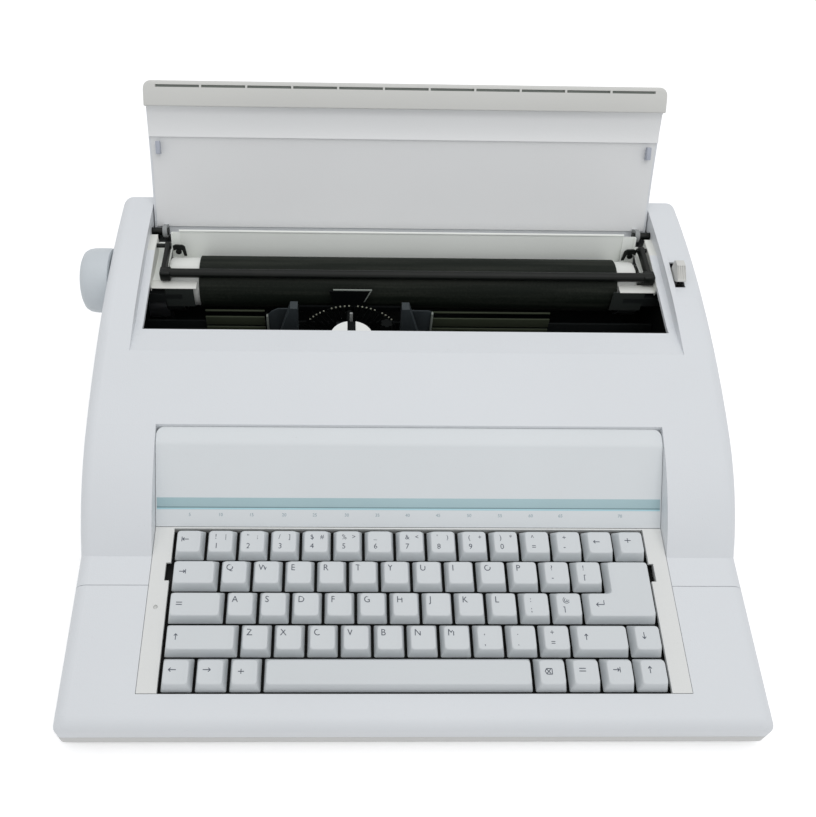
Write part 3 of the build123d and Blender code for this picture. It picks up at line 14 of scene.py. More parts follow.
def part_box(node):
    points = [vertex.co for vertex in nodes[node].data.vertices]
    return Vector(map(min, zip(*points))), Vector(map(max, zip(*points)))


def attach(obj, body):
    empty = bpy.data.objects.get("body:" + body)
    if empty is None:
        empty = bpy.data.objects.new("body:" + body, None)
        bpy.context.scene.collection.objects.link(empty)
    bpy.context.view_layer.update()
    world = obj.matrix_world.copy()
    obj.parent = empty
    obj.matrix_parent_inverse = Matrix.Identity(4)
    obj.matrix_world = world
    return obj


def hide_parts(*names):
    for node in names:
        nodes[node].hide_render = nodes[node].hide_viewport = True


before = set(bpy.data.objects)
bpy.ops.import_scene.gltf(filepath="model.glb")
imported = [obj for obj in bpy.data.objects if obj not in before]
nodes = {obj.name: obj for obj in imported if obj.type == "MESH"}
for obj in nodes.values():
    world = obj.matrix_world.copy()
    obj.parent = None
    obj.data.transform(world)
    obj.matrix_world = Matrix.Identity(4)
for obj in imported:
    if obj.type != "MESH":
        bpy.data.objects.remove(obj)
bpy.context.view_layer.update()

MM = 0.001
JOIN_REACH = 1e-7
case_low, case_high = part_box("lower_case")
CASE_ORIGIN = np.array([(case_low.x + case_high.x) / 2, case_low.y, 0.0])

# Named lines of the machine, in millimetres
HALF_WIDTH = 199.5
CASE_DEPTH = 356.0
CASE_TOP = 121.0
PALM_SLOPE = math.radians(9.34)
PALM_FRONT = 28.3
SHOULDER_FOOT = 96.0
SHOULDER_TOP = (162.0, 88.5)
SHOULDER_BULGE = 4.9
DECK_BULGE = 9.4
KEYBOARD_FRONT = 17.9
KEY_PITCH = 19.05
KEY_ROWS = 5
KEY_TOP = 6.2
KEY_BASE = -2.6
KEY_MARGIN = 0.9
PLATEN_CENTRE = (0, 286.9, 90.6)
CARRIAGE_X = -37.2
LID_HINGE = (316.6, 111.0)
LID_OPEN = math.radians(124.5)


def place(points):
    """Case millimetres to the model's metres."""
    return np.asarray(points, dtype=float) * MM + CASE_ORIGIN


def put_turned(points, foot, slope):
    """Points given across, along and out of a face, turned by its slope about its foot, in the model's frame."""
    across, along, out = np.moveaxis(np.asarray(points, dtype=float), -1, 0)
    y = foot[0] + along * math.cos(slope) - out * math.sin(slope)
    z = foot[1] + along * math.sin(slope) + out * math.cos(slope)
    return place(np.stack([across, y, z], axis=-1))


def put_key(points):
    """Points across, up the palm's slope and out of it."""
    return put_turned(points, (KEYBOARD_FRONT, PALM_FRONT + KEYBOARD_FRONT * math.tan(PALM_SLOPE)), PALM_SLOPE)


def put_lid(points):
    """Points of the closed lid, turned open about its hinge."""
    return put_turned(np.asarray(points, dtype=float) - (0, *LID_HINGE), LID_HINGE, -LID_OPEN)


def arc_height(y, start, end, bulge):
    """Height at y of the circle through start and end that stands bulge above their chord."""
    half = math.dist(start, end) / 2
    radius = (half * half + bulge * bulge) / (2 * bulge)
    across = np.array([-(end[1] - start[1]), end[0] - start[0]]) / (2 * half)
    centre = (np.array(start) + np.array(end)) / 2 + across * (bulge - radius)
    return centre[1] + np.sqrt(radius**2 - (np.asarray(y, dtype=float) - centre[0]) ** 2)


def cover_height(y):
    """Height of the cover's top line at y, from the palm over the shoulder to the back."""
    y = np.asarray(y, dtype=float)
    palm = PALM_FRONT + y * math.tan(PALM_SLOPE)
    foot = (SHOULDER_FOOT, PALM_FRONT + SHOULDER_FOOT * math.tan(PALM_SLOPE))
    shoulder_end = SHOULDER_TOP[0]
    shoulder = arc_height(np.clip(y, SHOULDER_FOOT, shoulder_end), foot, SHOULDER_TOP, SHOULDER_BULGE)
    deck = arc_height(np.clip(y, shoulder_end, CASE_DEPTH), SHOULDER_TOP, (CASE_DEPTH, CASE_TOP), DECK_BULGE)
    return np.where(y < SHOULDER_FOOT, palm, np.where(y < shoulder_end, shoulder, deck))


def loop_surface(rings):
    """Closed surface through a stack of closed rings of points, with its two ends filled."""
    rings = np.asarray(rings, dtype=float)
    rows, columns = rings.shape[:2]
    row, column = np.meshgrid(np.arange(rows - 1), np.arange(columns), indexing="ij")
    here, there = row * columns + column, row * columns + (column + 1) % columns
    faces = np.stack([here, there, there + columns, here + columns], axis=-1).reshape(-1, 4).tolist()
    faces.append(list(range(columns))[::-1])
    faces.append([(rows - 1) * columns + index for index in range(columns)])
    return rings.reshape(-1, 3), faces


def lathe(profile, centre, axis, count=48):
    """Profile of radius and distance along the axis, carried round it: radius times the circle's two directions."""
    profile = np.asarray(profile, dtype=float)
    turn = np.linspace(0, 2 * math.pi, count, endpoint=False)
    index = "xyz".index(axis)
    side, other, along = (np.eye(3)[(index + step) % 3] for step in (1, 2, 0))
    circle = np.cos(turn)[:, None] * side + np.sin(turn)[:, None] * other
    rings = profile[:, 0, None, None] * circle + profile[:, 1, None, None] * along + np.array(centre, dtype=float)
    return loop_surface(rings)


def rod(start, end, radius, centre, count):
    """Plain round bar along x, closed at both ends."""
    return lathe([(0.05, start), (radius, start), (radius, end), (0.05, end)], (0, *centre), "x", count)


def rounded_outline(corners, radius, steps=4):
    """Corners of an outline eased by a curve through radius before and after each: the two-line Bezier of a corner."""
    corners = np.asarray(corners, dtype=float)
    before = np.roll(corners, 1, axis=0) - corners
    after = np.roll(corners, -1, axis=0) - corners
    radius = np.broadcast_to(np.asarray(radius, dtype=float), (len(corners),))[:, None]
    start = corners + before / np.linalg.norm(before, axis=1, keepdims=True) * radius
    end = corners + after / np.linalg.norm(after, axis=1, keepdims=True) * radius
    share = np.linspace(0, 1, steps)[None, :, None]
    bend = (1 - share) ** 2 * start[:, None] + 2 * share * (1 - share) * corners[:, None] + share**2 * end[:, None]
    return bend.reshape(-1, 2)


def bar_between(outline, low, high, axis, ease=0.0):
    """Outline carried from low to high along an axis, its two ends drawn in by ease for a rounded rim."""
    outline = np.asarray(outline, dtype=float)
    centre = outline.mean(axis=0)
    reach = np.abs(outline - centre).max(axis=0)
    steps = [(low, 0.0), (high, 0.0)]
    if ease:
        rim = [(0.0, ease), (ease * 0.3, ease * 0.3), (ease, 0.0)]
        steps = [(low + run, draw) for run, draw in rim] + [(high - run, draw) for run, draw in rim[::-1]]
    rings = []
    for level, draw in steps:
        flat = centre + (outline - centre) * (1 - draw / reach)
        rings.append(np.insert(flat, "xyz".index(axis), level, axis=1))
    return loop_surface(rings)


def rounded_block(low, high, radius, axis="z", ease=None):
    """Box with rounded long edges along an axis and eased ends."""
    index = "xyz".index(axis)
    left, front = np.delete(low, index)
    right, back = np.delete(high, index)
    outline = rounded_outline([(left, front), (right, front), (right, back), (left, back)], radius)
    return bar_between(outline, low[index], high[index], axis, radius * 0.6 if ease is None else ease)


def side_bar(side, near, far, outline, ease=0.0):
    """Outline of y and z carried between two distances from the middle, on the left side or the right."""
    return bar_between(outline, *sorted((side * near, side * far)), "x", ease)


def side_block(side, near, far, low, high, radius, ease):
    """Rounded block between two distances from the middle; low and high are its corners in y and z."""
    left, right = sorted((side * near, side * far))
    return rounded_block((left, *low), (right, *high), radius, "x", ease)


def merged(parts):
    """Several surfaces as one list of points and faces."""
    points, faces, start = [], [], 0
    for part_points, part_faces in parts:
        points.append(np.asarray(part_points, dtype=float))
        faces += [[start + index for index in face] for face in part_faces]
        start += len(part_points)
    return np.concatenate(points), faces


def add_object(name, data):
    """Links a new object to the scene."""
    thing = bpy.data.objects.new(name, data)
    bpy.context.scene.collection.objects.link(thing)
    return thing


def add_piece(name, surface, finish, body, replaces=(), sharp=35.0, put=place):
    """Links a surface as a piece with outward faces, smooth but for its sharp edges, and hangs it on its body."""
    points, faces = surface
    mesh = bpy.data.meshes.new(name)
    mesh.from_pydata(put(points).tolist(), [], faces)
    work = bmesh.new()
    work.from_mesh(mesh)
    bmesh.ops.remove_doubles(work, verts=work.verts, dist=JOIN_REACH)
    bmesh.ops.dissolve_degenerate(work, dist=JOIN_REACH, edges=work.edges)
    bmesh.ops.recalc_face_normals(work, faces=work.faces)
    work.to_mesh(mesh)
    work.free()
    mesh.shade_smooth()
    mesh.set_sharp_from_angle(angle=math.radians(sharp))
    mesh.materials.append(FINISHES[finish])
    piece = add_object(name, mesh)
    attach(piece, body)
    if replaces:
        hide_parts(*replaces)


def tone(red, green, blue):
    """Colour written as it is seen, 0 to 255, as the linear colour of a material."""
    seen = np.array([red, green, blue]) / 255
    linear = np.where(seen <= 0.04045, seen / 12.92, ((seen + 0.055) / 1.055) ** 2.4)
    return (*linear.tolist(), 1.0)


# Kind of socket by how many numbers it holds, and how many an effect's outputs hold
SOCKET_KINDS = {1: "NodeSocketFloat", 3: "NodeSocketVector", 4: "NodeSocketColor"}
OUTPUT_SIZES = {"Color": 4, "Roughness": 1, "Normal": 3}


def new_effect(name, inputs, outputs=tuple(OUTPUT_SIZES)):
    """Shader node group with named sockets. Gives its tree, its inputs and its outputs."""
    tree = bpy.data.node_groups.new(name, "ShaderNodeTree")
    for label, value in inputs.items():
        kind = SOCKET_KINDS[np.size(value)]
        tree.interface.new_socket(name=label, in_out="INPUT", socket_type=kind).default_value = value
    for label in outputs:
        tree.interface.new_socket(name=label, in_out="OUTPUT", socket_type=SOCKET_KINDS[OUTPUT_SIZES[label]])
    return tree, tree.nodes.new("NodeGroupInput").outputs, tree.nodes.new("NodeGroupOutput").inputs


def add_node(tree, kind, settings=(), **sockets):
    """Adds a node, sets its properties, and sets or links its inputs by name or number."""
    node = tree.nodes.new(kind)
    for label, value in dict(settings).items():
        setattr(node, label, value)
    for label, value in sockets.items():
        numbered = label[0] == "n" and label[1:].isdigit()
        socket = node.inputs[int(label[1:]) if numbered else label.replace("_", " ")]
        if isinstance(value, bpy.types.NodeSocket):
            tree.links.new(value, socket)
        else:
            socket.default_value = value
    return node


def math_node(tree, operation, first, second=0.0, third=0.0):
    return add_node(tree, "ShaderNodeMath", {"operation": operation}, n0=first, n1=second, n2=third).outputs[0]


def vector_node(tree, operation, first, **sockets):
    return add_node(tree, "ShaderNodeVectorMath", {"operation": operation}, n0=first, **sockets).outputs


def object_place(tree):
    return add_node(tree, "ShaderNodeTexCoord").outputs["Object"]


def noise(tree, place_of, scale, detail=2.0, roughness=0.5, stretch=None):
    if stretch:
        place_of = add_node(tree, "ShaderNodeMapping", n0=place_of, Scale=stretch).outputs[0]
    return add_node(tree, "ShaderNodeTexNoise", n0=place_of, Scale=scale, Detail=detail, Roughness=roughness).outputs[0]


def ramp(tree, value, low, high, start=0.0, end=1.0):
    """Value carried from low and high to start and end, and held there beyond them."""
    limits = {"From_Min": low, "From_Max": high, "To_Min": start, "To_Max": end}
    return add_node(tree, "ShaderNodeMapRange", Value=value, **limits).outputs[0]


def blend(tree, share, first, second):
    """First colour at a share of 0 and the second at 1."""
    return add_node(tree, "ShaderNodeMix", {"data_type": "RGBA"}, n0=share, n6=first, n7=second).outputs[2]


def shift_colour(tree, colour, light, dark, factor):
    """Colour brightened or darkened about factor one half: times dark at 0 and times light at 1."""
    return vector_node(tree, "SCALE", colour, Scale=ramp(tree, factor, 0.25, 0.75, dark, light))[0]


def vary(tree, level, pattern, amount):
    """Level moved about its own value by a pattern of 0 to 1, by amount from end to end."""
    return math_node(tree, "MULTIPLY_ADD", pattern, amount, math_node(tree, "SUBTRACT", level, amount / 2))


def relief(tree, strength, distance, height):
    return add_node(tree, "ShaderNodeBump", Strength=strength, Distance=distance, Height=height).outputs[0]


def give_out(tree, made, **values):
    for label, value in values.items():
        tree.links.new(value, made[label])
    return tree


def moulded_grain():
    """Spark-eroded grain of moulded plastic, with slow patches of age and a fine scatter of dirt specks."""
    tree, given, made = new_effect("moulded_grain", {
        "Base": (0.8, 0.8, 0.8, 1), "Sheen Level": 0.45, "Grain Scale": 900.0, "Grain Depth": 0.2, "Patches": 0.03,
        "Specks": 0.2,
    })
    here = object_place(tree)
    grain = noise(tree, here, given["Grain Scale"], 3.0, 0.6)
    patch = noise(tree, here, 11.0, 3.0, 0.55)
    speck = noise(tree, here, 900.0, 1.0, 0.5)
    light = math_node(tree, "ADD", 1.0, given["Patches"])
    dark = math_node(tree, "SUBTRACT", 1.0, given["Patches"])
    patched = shift_colour(tree, given["Base"], light, dark, patch)
    mask = math_node(tree, "MULTIPLY", ramp(tree, speck, 0.74, 0.80), given["Specks"])
    return give_out(
        tree, made, Color=blend(tree, mask, patched, tone(158, 154, 146)),
        Roughness=vary(tree, vary(tree, given["Sheen Level"], patch, 0.22), grain, 0.1),
        Normal=relief(tree, given["Grain Depth"], 0.0002, grain),
    )


def drawn_metal():
    """Rolled, drawn or ground metal: fine lines along one direction, tarnish in patches."""
    tree, given, made = new_effect("drawn_metal", {
        "Base": (0.5, 0.5, 0.5, 1), "Sheen Level": 0.35, "Stretch": (20.0, 900.0, 900.0), "Tarnish": 0.3,
    })
    here = object_place(tree)
    lines = noise(tree, vector_node(tree, "MULTIPLY", here, n1=given["Stretch"])[0], 1.0, 2.0, 0.6)
    patch = noise(tree, here, 38.0, 4.0, 0.6)
    mask = math_node(tree, "MULTIPLY", ramp(tree, patch, 0.5, 0.72), given["Tarnish"])
    shaded = shift_colour(tree, given["Base"], 1.12, 0.88, lines)
    rough = math_node(tree, "MULTIPLY_ADD", mask, 0.3, given["Sheen Level"])
    return give_out(
        tree, made, Color=blend(tree, mask, shaded, tone(96, 92, 84)), Roughness=vary(tree, rough, lines, 0.12),
        Normal=relief(tree, 0.15, 0.0001, lines),
    )


def ground_rubber():
    """Ground rubber: fine turning marks round the roller, paper dust in lengthwise bands."""
    tree, given, made = new_effect("ground_rubber", {"Base": (0.03, 0.03, 0.03, 1), "Sheen Level": 0.6, "Dust": 0.3})
    here = object_place(tree)
    rings = noise(tree, here, 1.0, 2.0, 0.6, (1500.0, 60.0, 60.0))
    bands = noise(tree, here, 1.0, 3.0, 0.5, (9.0, 240.0, 240.0))
    dots = noise(tree, here, 700.0, 2.0, 0.6)
    dusted = ramp(tree, math_node(tree, "MULTIPLY_ADD", dots, 0.4, bands), 0.62, 0.95)
    mask = math_node(tree, "MULTIPLY", dusted, given["Dust"])
    return give_out(
        tree, made, Color=blend(tree, mask, given["Base"], tone(150, 152, 140)),
        Roughness=vary(tree, given["Sheen Level"], dots, 0.2),
        Normal=relief(tree, 0.25, 0.0001, math_node(tree, "ADD", rings, dots)),
    )


def near_and_far():
    """One colour near a centre and another beyond a radius of it, with the distance along each axis weighted, so that
    a ball, a rod or a slab of the part's own space can be chosen."""
    tree, given, made = new_effect("near_and_far", {
        "Near": (0, 0, 0, 1), "Far": (1, 1, 1, 1), "Centre": (0, 0, 0), "Weights": (1, 1, 1), "Radius": 0.01,
    }, ("Color",))
    away = vector_node(tree, "SUBTRACT", object_place(tree), n1=given["Centre"])[0]
    away = vector_node(tree, "MULTIPLY", away, n1=given["Weights"])[0]
    reach = vector_node(tree, "LENGTH", away)["Value"]
    beyond = math_node(tree, "GREATER_THAN", reach, given["Radius"])
    return give_out(tree, made, Color=blend(tree, beyond, given["Near"], given["Far"]))


GRAIN = moulded_grain()
METAL = drawn_metal()
RUBBER = ground_rubber()
NEAR_FAR = near_and_far()


def new_finish(name, effect, seen, level, gloss, metallic=0.0, **values):
    """Material whose colour, roughness and normal come from an effect placed with its own values."""
    material = bpy.data.materials.new(name)
    material.use_nodes = True
    tree = material.node_tree
    shader = tree.nodes["Principled BSDF"]
    group = add_node(tree, "ShaderNodeGroup", {"node_tree": effect}, Base=tone(*seen), Sheen_Level=level, **values)
    for label, target in (("Color", "Base Color"), ("Roughness", "Roughness"), ("Normal", "Normal")):
        tree.links.new(group.outputs[label], shader.inputs[target])
    shader.inputs["Metallic"].default_value = metallic
    shader.inputs["Specular IOR Level"].default_value = gloss
    return material


def shade_near(finish, centre, radius, shade):
    """Lays a second tone over a finish within a radius of a line across the machine, in case millimetres."""
    tree = FINISHES[finish].node_tree
    base = tree.nodes["Principled BSDF"].inputs["Base Color"]
    spot = add_node(
        tree, "ShaderNodeGroup", {"node_tree": NEAR_FAR}, Near=shade, Far=base.links[0].from_socket,
        Centre=place([(0, *centre)])[0].tolist(), Weights=(0, 1, 1), Radius=radius * MM,
    )
    tree.links.new(spot.outputs[0], base)


# Moulded, painted and printed finishes: tone, roughness, gloss, scale and depth of the grain, patches, specks
MOULDED = {
    "case_plastic": ((218, 221, 224), 0.48, 0.5, 1100, 0.3, 0.018, 0.12),
    "panel_plastic": ((217, 221, 223), 0.46, 0.5, 1300, 0.2, 0.02, 0.12),
    "bezel_plastic": ((220, 221, 219), 0.46, 0.5, 1300, 0.2, 0.02, 0.15),
    "bar_plastic": ((206, 206, 202), 0.5, 0.5, 1100, 0.2, 0.02, 0.1),
    "liner_plastic": ((222, 223, 223), 0.5, 0.5, 1000, 0.2, 0.015, 0.08),
    "key_plastic": ((206, 210, 212), 0.5, 0.5, 1800, 0.22, 0.02, 0.1),
    "knob_plastic": ((198, 204, 208), 0.45, 0.5, 1200, 0.2, 0.025, 0.2),
    "cap_plastic": ((222, 224, 220), 0.4, 0.5, 900, 0.1, 0.04, 0.3),
    "gear_plastic": ((226, 222, 208), 0.4, 0.5, 900, 0.1, 0.03, 0.2),
    # Pale paint of the chute; shade_near below darkens its deep part as painted shade
    "chute_paint_and_shade": ((235, 238, 233), 0.5, 0.25, 2200, 0.12, 0.02, 0.1),
    "black_plastic": ((34, 36, 35), 0.42, 0.5, 1500, 0.25, 0.12, 0.25),
    "arm_plastic": ((56, 62, 65), 0.5, 0.2, 1600, 0.25, 0.08, 0.1),
    "bush_plastic": ((46, 47, 46), 0.4, 0.5, 900, 0.1, 0.06, 0.2),
    "card_plastic": ((10, 12, 13), 0.4, 0.12, 900, 0.03, 0.05, 0.05),
    "wheel_plastic": ((14, 16, 16), 0.45, 0.12, 900, 0.1, 0.1, 0.05),
    "tip_plastic": ((168, 170, 154), 0.4, 0.5, 900, 0.1, 0.12, 0.1),
    "rim_plastic": ((128, 134, 128), 0.35, 0.5, 900, 0.1, 0.15, 0.1),
    "shield_paint": ((64, 70, 56), 0.5, 0.15, 1400, 0.1, 0.08, 0.1),
    # Darker tone laid in the slots' bottoms, painted shade
    "slot_painted_shade": ((126, 131, 126), 0.6, 0.2, 900, 0.2, 0.06, 0.05),
    "hub_plastic": ((232, 233, 230), 0.35, 0.5, 900, 0.08, 0.02, 0.1),
    "legend_ink": ((66, 72, 84), 0.5, 0.5, 900, 0.05, 0.12, 0.0),
    "pale_ink": ((150, 168, 174), 0.5, 0.5, 900, 0.05, 0.08, 0.0),
    "band_ink": ((166, 192, 197), 0.45, 0.5, 900, 0.08, 0.05, 0.05),
    "line_ink": ((118, 142, 148), 0.45, 0.5, 900, 0.05, 0.05, 0.0),
    "thread_ink": ((176, 214, 222), 0.45, 0.5, 900, 0.05, 0.04, 0.0),
    "board_lacquer": ((58, 112, 72), 0.3, 0.5, 400, 0.08, 0.1, 0.2),
    "tray_plastic": ((202, 202, 200), 0.48, 0.5, 1100, 0.3, 0.018, 0.12),
    "seat_plastic": ((222, 223, 218), 0.5, 0.5, 1100, 0.2, 0.02, 0.1),
    "catch_plastic": ((168, 173, 184), 0.45, 0.5, 1200, 0.2, 0.03, 0.05),
    # Dark tone of the skirts under the ledges, painted shade
    "skirt_painted_shade": ((46, 50, 48), 0.5, 0.15, 1400, 0.1, 0.08, 0.05),
    # Near-black tone of the sheet over the pan, painted shade
    "pan_painted_shade": ((20, 22, 22), 0.6, 0.06, 900, 0.2, 0.1, 0.02),
    "lid_plastic": ((218, 221, 224), 0.48, 0.5, 1100, 0.3, 0.018, 0.12),
}
# Sheet, drawn and lacquered metal: tone, roughness, gloss, metallic, stretch of the lines, tarnish
METALS = {
    "dark_sheet": ((16, 18, 18), 0.65, 0.06, 0.0, (200, 200, 200), 0.06),
    "dull_steel": ((150, 152, 150), 0.4, 0.5, 0.3, (60, 60, 300), 0.2),
    "ground_steel": ((206, 208, 208), 0.22, 0.5, 1.0, (12, 1400, 1400), 0.2),
    "screw_steel": ((196, 197, 196), 0.3, 0.5, 1.0, (600, 600, 60), 0.3),
    "motor_can": ((92, 94, 97), 0.38, 0.5, 0.7, (60, 60, 500), 0.25),
    "black_plate": ((20, 21, 21), 0.6, 0.2, 0.0, (200, 200, 200), 0.06),
    "bail_lacquer": ((14, 17, 15), 0.35, 0.2, 0.0, (15, 500, 500), 0.04),
    "laminations": ((112, 104, 94), 0.5, 0.5, 0.6, (20, 2400, 20), 0.5),
}
# Rubber: tone, roughness, gloss, dust
RUBBERS = {
    "dome_rubber": ((206, 205, 200), 0.6, 0.5, 0.1),
    "foot_rubber": ((50, 50, 50), 0.75, 0.5, 0.15),
    "platen_rubber": ((19, 24, 19), 0.6, 0.12, 0.05),
    "roller_rubber": ((52, 52, 50), 0.65, 0.5, 0.2),
    "belt_rubber": ((40, 40, 40), 0.7, 0.5, 0.15),
}

FINISHES = {}
for name, (*look, scale, depth, patches, specks) in MOULDED.items():
    grain = {"Grain_Scale": scale, "Grain_Depth": depth, "Patches": patches, "Specks": specks}
    FINISHES[name] = new_finish(name, GRAIN, *look, **grain)
for name, (*look, stretch, tarnish) in METALS.items():
    FINISHES[name] = new_finish(name, METAL, *look, Stretch=stretch, Tarnish=tarnish)
for name, (*look, dust) in RUBBERS.items():
    FINISHES[name] = new_finish(name, RUBBER, *look, Dust=dust)
# Painted shade deep in the paper chute, and the lid's darker knuckles round its hinge
shade_near("chute_paint_and_shade", (268, 70), 29.0, tone(30, 33, 33))
shade_near("lid_plastic", LID_HINGE, 6.4, tone(142, 145, 145))

NODES_BY_FINISH = {
    "tray_plastic": "lower_case", "case_plastic": "front_frame upper_cover", "lid_plastic": "lid",
    "bezel_plastic": "keyboard_bezel", "panel_plastic": "label_panel", "bar_plastic": "lid_front_bar release_lever",
    "liner_plastic": "lid_liner", "foot_rubber": "rubber_feet", "screw_steel": "case_screws",
    "black_plate": "key_plate", "dome_rubber": "dome_sheet", "board_lacquer": "switch_board main_board",
    "dark_sheet": "mechanism_pan left_side_frame right_side_frame wheel_motor print_hammer hammer_solenoid "
                  "ribbon_spindle",
    "platen_rubber": "platen_rubber", "ground_steel": "platen_shaft carriage_rails",
    "cap_plastic": "platen_end_caps", "knob_plastic": "platen_knob", "bush_plastic": "platen_bushes",
    "gear_plastic": "platen_gear feed_pinion drive_pulley idler_pulley", "roller_rubber": "feed_rollers",
    "motor_can": "feed_motor carriage_motor", "chute_paint_and_shade": "paper_guides", "bail_lacquer": "paper_bail pivot_pins",
    "arm_plastic": "carriage_frame", "card_plastic": "card_holder", "wheel_plastic": "daisy_wheel",
    "belt_rubber": "drive_belt", "laminations": "transformer",
    "black_plastic": "power_inlet switch_housing power_rocker",
}
NODE_FINISH = {node: finish for finish, names in NODES_BY_FINISH.items() for node in names.split()}


def dress_nodes():
    """Gives every node its finish; the rest are key caps."""
    for name, node in nodes.items():
        node.data.materials.clear()
        node.data.materials.append(FINISHES[NODE_FINISH.get(name, "key_plastic")])


def caps_of(node, *legends, units=1):
    """Caps side by side, each with its legend (lower left, upper left, upper right), node and width in units."""
    return [(legend, node, units) for legend in legends]


# Rows of caps from the back
KEY_LAYOUT = [
    caps_of("function_keys", "")
    + caps_of("number_keys", "1 ! |", "2 \" ;", "3 / ]", "4 $ #", "5 % >", "6 _", "7 & <", "8 ' )", "9 ( +", "0 ) *",
              "= ^", "- +")
    + caps_of("backspace_key", "<") + caps_of("function_keys", ""),
    caps_of("tab_key", ">", units=1.5) + caps_of("upper_letter_keys", *"QWERTYUIOP", "- ?", "[ !"),
    caps_of("shift_lock_key", "*", units=1.75) + caps_of("home_letter_keys", *"ASDFGHJKL", "; :", "] @"),
    caps_of("left_shift_key", "^", units=2.25) + caps_of("lower_letter_keys", *"ZXCVBNM", ", ,", ". .", "= +")
    + caps_of("right_shift_key", "^", units=1.75) + caps_of("function_keys", ""),
    caps_of("function_keys", "", "") + caps_of("code_key", "o") + caps_of("space_bar", "", units=8)
    + caps_of("correction_key", "x") + caps_of("function_keys", "", "", ""),
]
ROW_END = 7.5 * KEY_PITCH
KEY_GAP = 0.85
SIDE_GAP = 1.7
SIDE_DRAFT = 1.7
FRONT_DRAFT = 2.55
BACK_DRAFT = 2.5
CAP_WALL = 1.3
CAP_EASE = 0.75
CAP_EASE_RUN = CAP_EASE * 0.8
CAP_CORNER = 2.2
CAP_ROOF = KEY_TOP - 1.9
DISH_DEPTH = 0.5
RIM_DISH = 0.3
CROWN = 0.7
WIDE_CAP = 20
BAR_CAP = 100
STEM_LENGTH = 8.2
BAR_STEM_RUN = 54.864
RETURN_STEM_X = 128.59
INK_HALF = 0.09
INK_SINK = 0.03
CAPITAL_SHARE = 0.72


def cap_dish(across, along, box):
    """Drop of a cap's top below its rim: a cylinder across a letter cap, a flat with raised ends on a wide cap, and a
    crown along the slope on the space bar."""
    left, right, front, back = box
    share = np.clip(np.abs(across - (left + right) / 2) / ((right - left) / 2), 0, 1)
    along_share = np.clip((along - (front + back) / 2) / ((back - front) / 2), -1, 1)
    width = right - left
    if width > BAR_CAP:
        return CROWN * along_share**2
    power = 2.0 if width < WIDE_CAP else 2.0 + (width - WIDE_CAP) / 4
    return DISH_DEPTH * (1 - share**power)


def rim_box(box):
    """Left, right, front and back of a cap's top, within its sloping sides."""
    left, right, front, back = box
    return left + SIDE_DRAFT, right - SIDE_DRAFT, front + FRONT_DRAFT, back - BACK_DRAFT


def cap_surface(corners, box):
    """Key cap from the middle of its inside, down the inner wall, round the rim, up the sloping sides, over the eased
    edge and across the dished top. Each ring is the outline drawn in by a share of the sides' drafts and more."""
    corners = np.asarray(corners, dtype=float)
    towards = corners[:, 2:]
    height = KEY_TOP - KEY_BASE
    half_top = (box[3] - box[2]) / 2 - FRONT_DRAFT

    def ring(share, inward, radius, out, dished=0.0):
        side, front, back = np.array([SIDE_DRAFT, FRONT_DRAFT, BACK_DRAFT]) * share + inward
        amount = np.stack([np.full(len(corners), side), np.where(towards[:, 1] > 0, front, back)], axis=1)
        line = rounded_outline(corners[:, :2] + towards * amount, radius)
        return np.column_stack([line, out - dished * cap_dish(line[:, 0], line[:, 1], rim_box(box))])

    rings = [
        ring(1, np.array([5.2, 5.0, 5.0]), 0.4, CAP_ROOF), ring(1, CAP_WALL - 0.4, 0.6, CAP_ROOF),
        ring(0, CAP_WALL, 0.5, KEY_BASE), ring(0, 0.25, 0.9, KEY_BASE), ring(0, 0.0, 1.0, KEY_BASE + 0.3),
    ]
    for share in (0.5, 1 - CAP_EASE / height):
        rings.append(ring(share, 0.0, 1.0 + 1.2 * share, KEY_BASE + height * share))
    for angle in np.radians((30, 60, 90)):
        drop = CAP_EASE * (1 - math.sin(angle))
        inward = CAP_EASE_RUN * (1 - math.cos(angle))
        rings.append(ring(1 - drop / height, inward, CAP_CORNER, KEY_TOP - drop, RIM_DISH * math.sin(angle) ** 4))
    reach = min(half_top, 6.6)
    for step in (0.08, 0.25, 0.5, 0.75, 0.9):
        inward = CAP_EASE_RUN + (reach - CAP_EASE_RUN) * step
        radius = min(max(0.3, CAP_CORNER - inward / 3), (half_top - inward) * 0.8)
        rings.append(ring(1, inward, radius, KEY_TOP, RIM_DISH + (1 - RIM_DISH) * min(1.0, step * 4)))
    return loop_surface(rings)


def key_stem(across, along):
    """Round stem under a cap, eased at its foot."""
    low = KEY_BASE - STEM_LENGTH
    return lathe([(1.9, low), (2.4, low + 0.5), (2.4, KEY_TOP - 1.5)], (across, along, 0), "z", 20)


def key_boxes():
    """Every cap of the straight rows: its node, legend and cell, left, right, front and back."""
    for row, keys in enumerate(KEY_LAYOUT):
        left = -ROW_END
        front = KEY_MARGIN + (KEY_ROWS - 1 - row) * KEY_PITCH + KEY_GAP / 2
        for legend, node, units in keys:
            right = left + units * KEY_PITCH
            yield node, legend, (left + SIDE_GAP / 2, right - SIDE_GAP / 2, front, front + KEY_PITCH - KEY_GAP)
            left = right


def return_corners():
    """Corners of the return key, each with the direction in which its two sides draw in."""
    right = ROW_END - SIDE_GAP / 2
    lower_left = ROW_END - 2.25 * KEY_PITCH + SIDE_GAP / 2
    upper_left = ROW_END - 1.5 * KEY_PITCH + SIDE_GAP / 2
    front = KEY_MARGIN + 2 * KEY_PITCH + KEY_GAP / 2
    step = KEY_MARGIN + 3 * KEY_PITCH - KEY_GAP / 2
    back = KEY_MARGIN + 4 * KEY_PITCH - KEY_GAP / 2
    corners = [
        (lower_left, front, 1, 1), (right, front, -1, 1), (right, back, -1, -1),
        (upper_left, back, 1, -1), (upper_left, step, 1, -1), (lower_left, step, 1, -1),
    ]
    return corners, (lower_left, right, front, back)


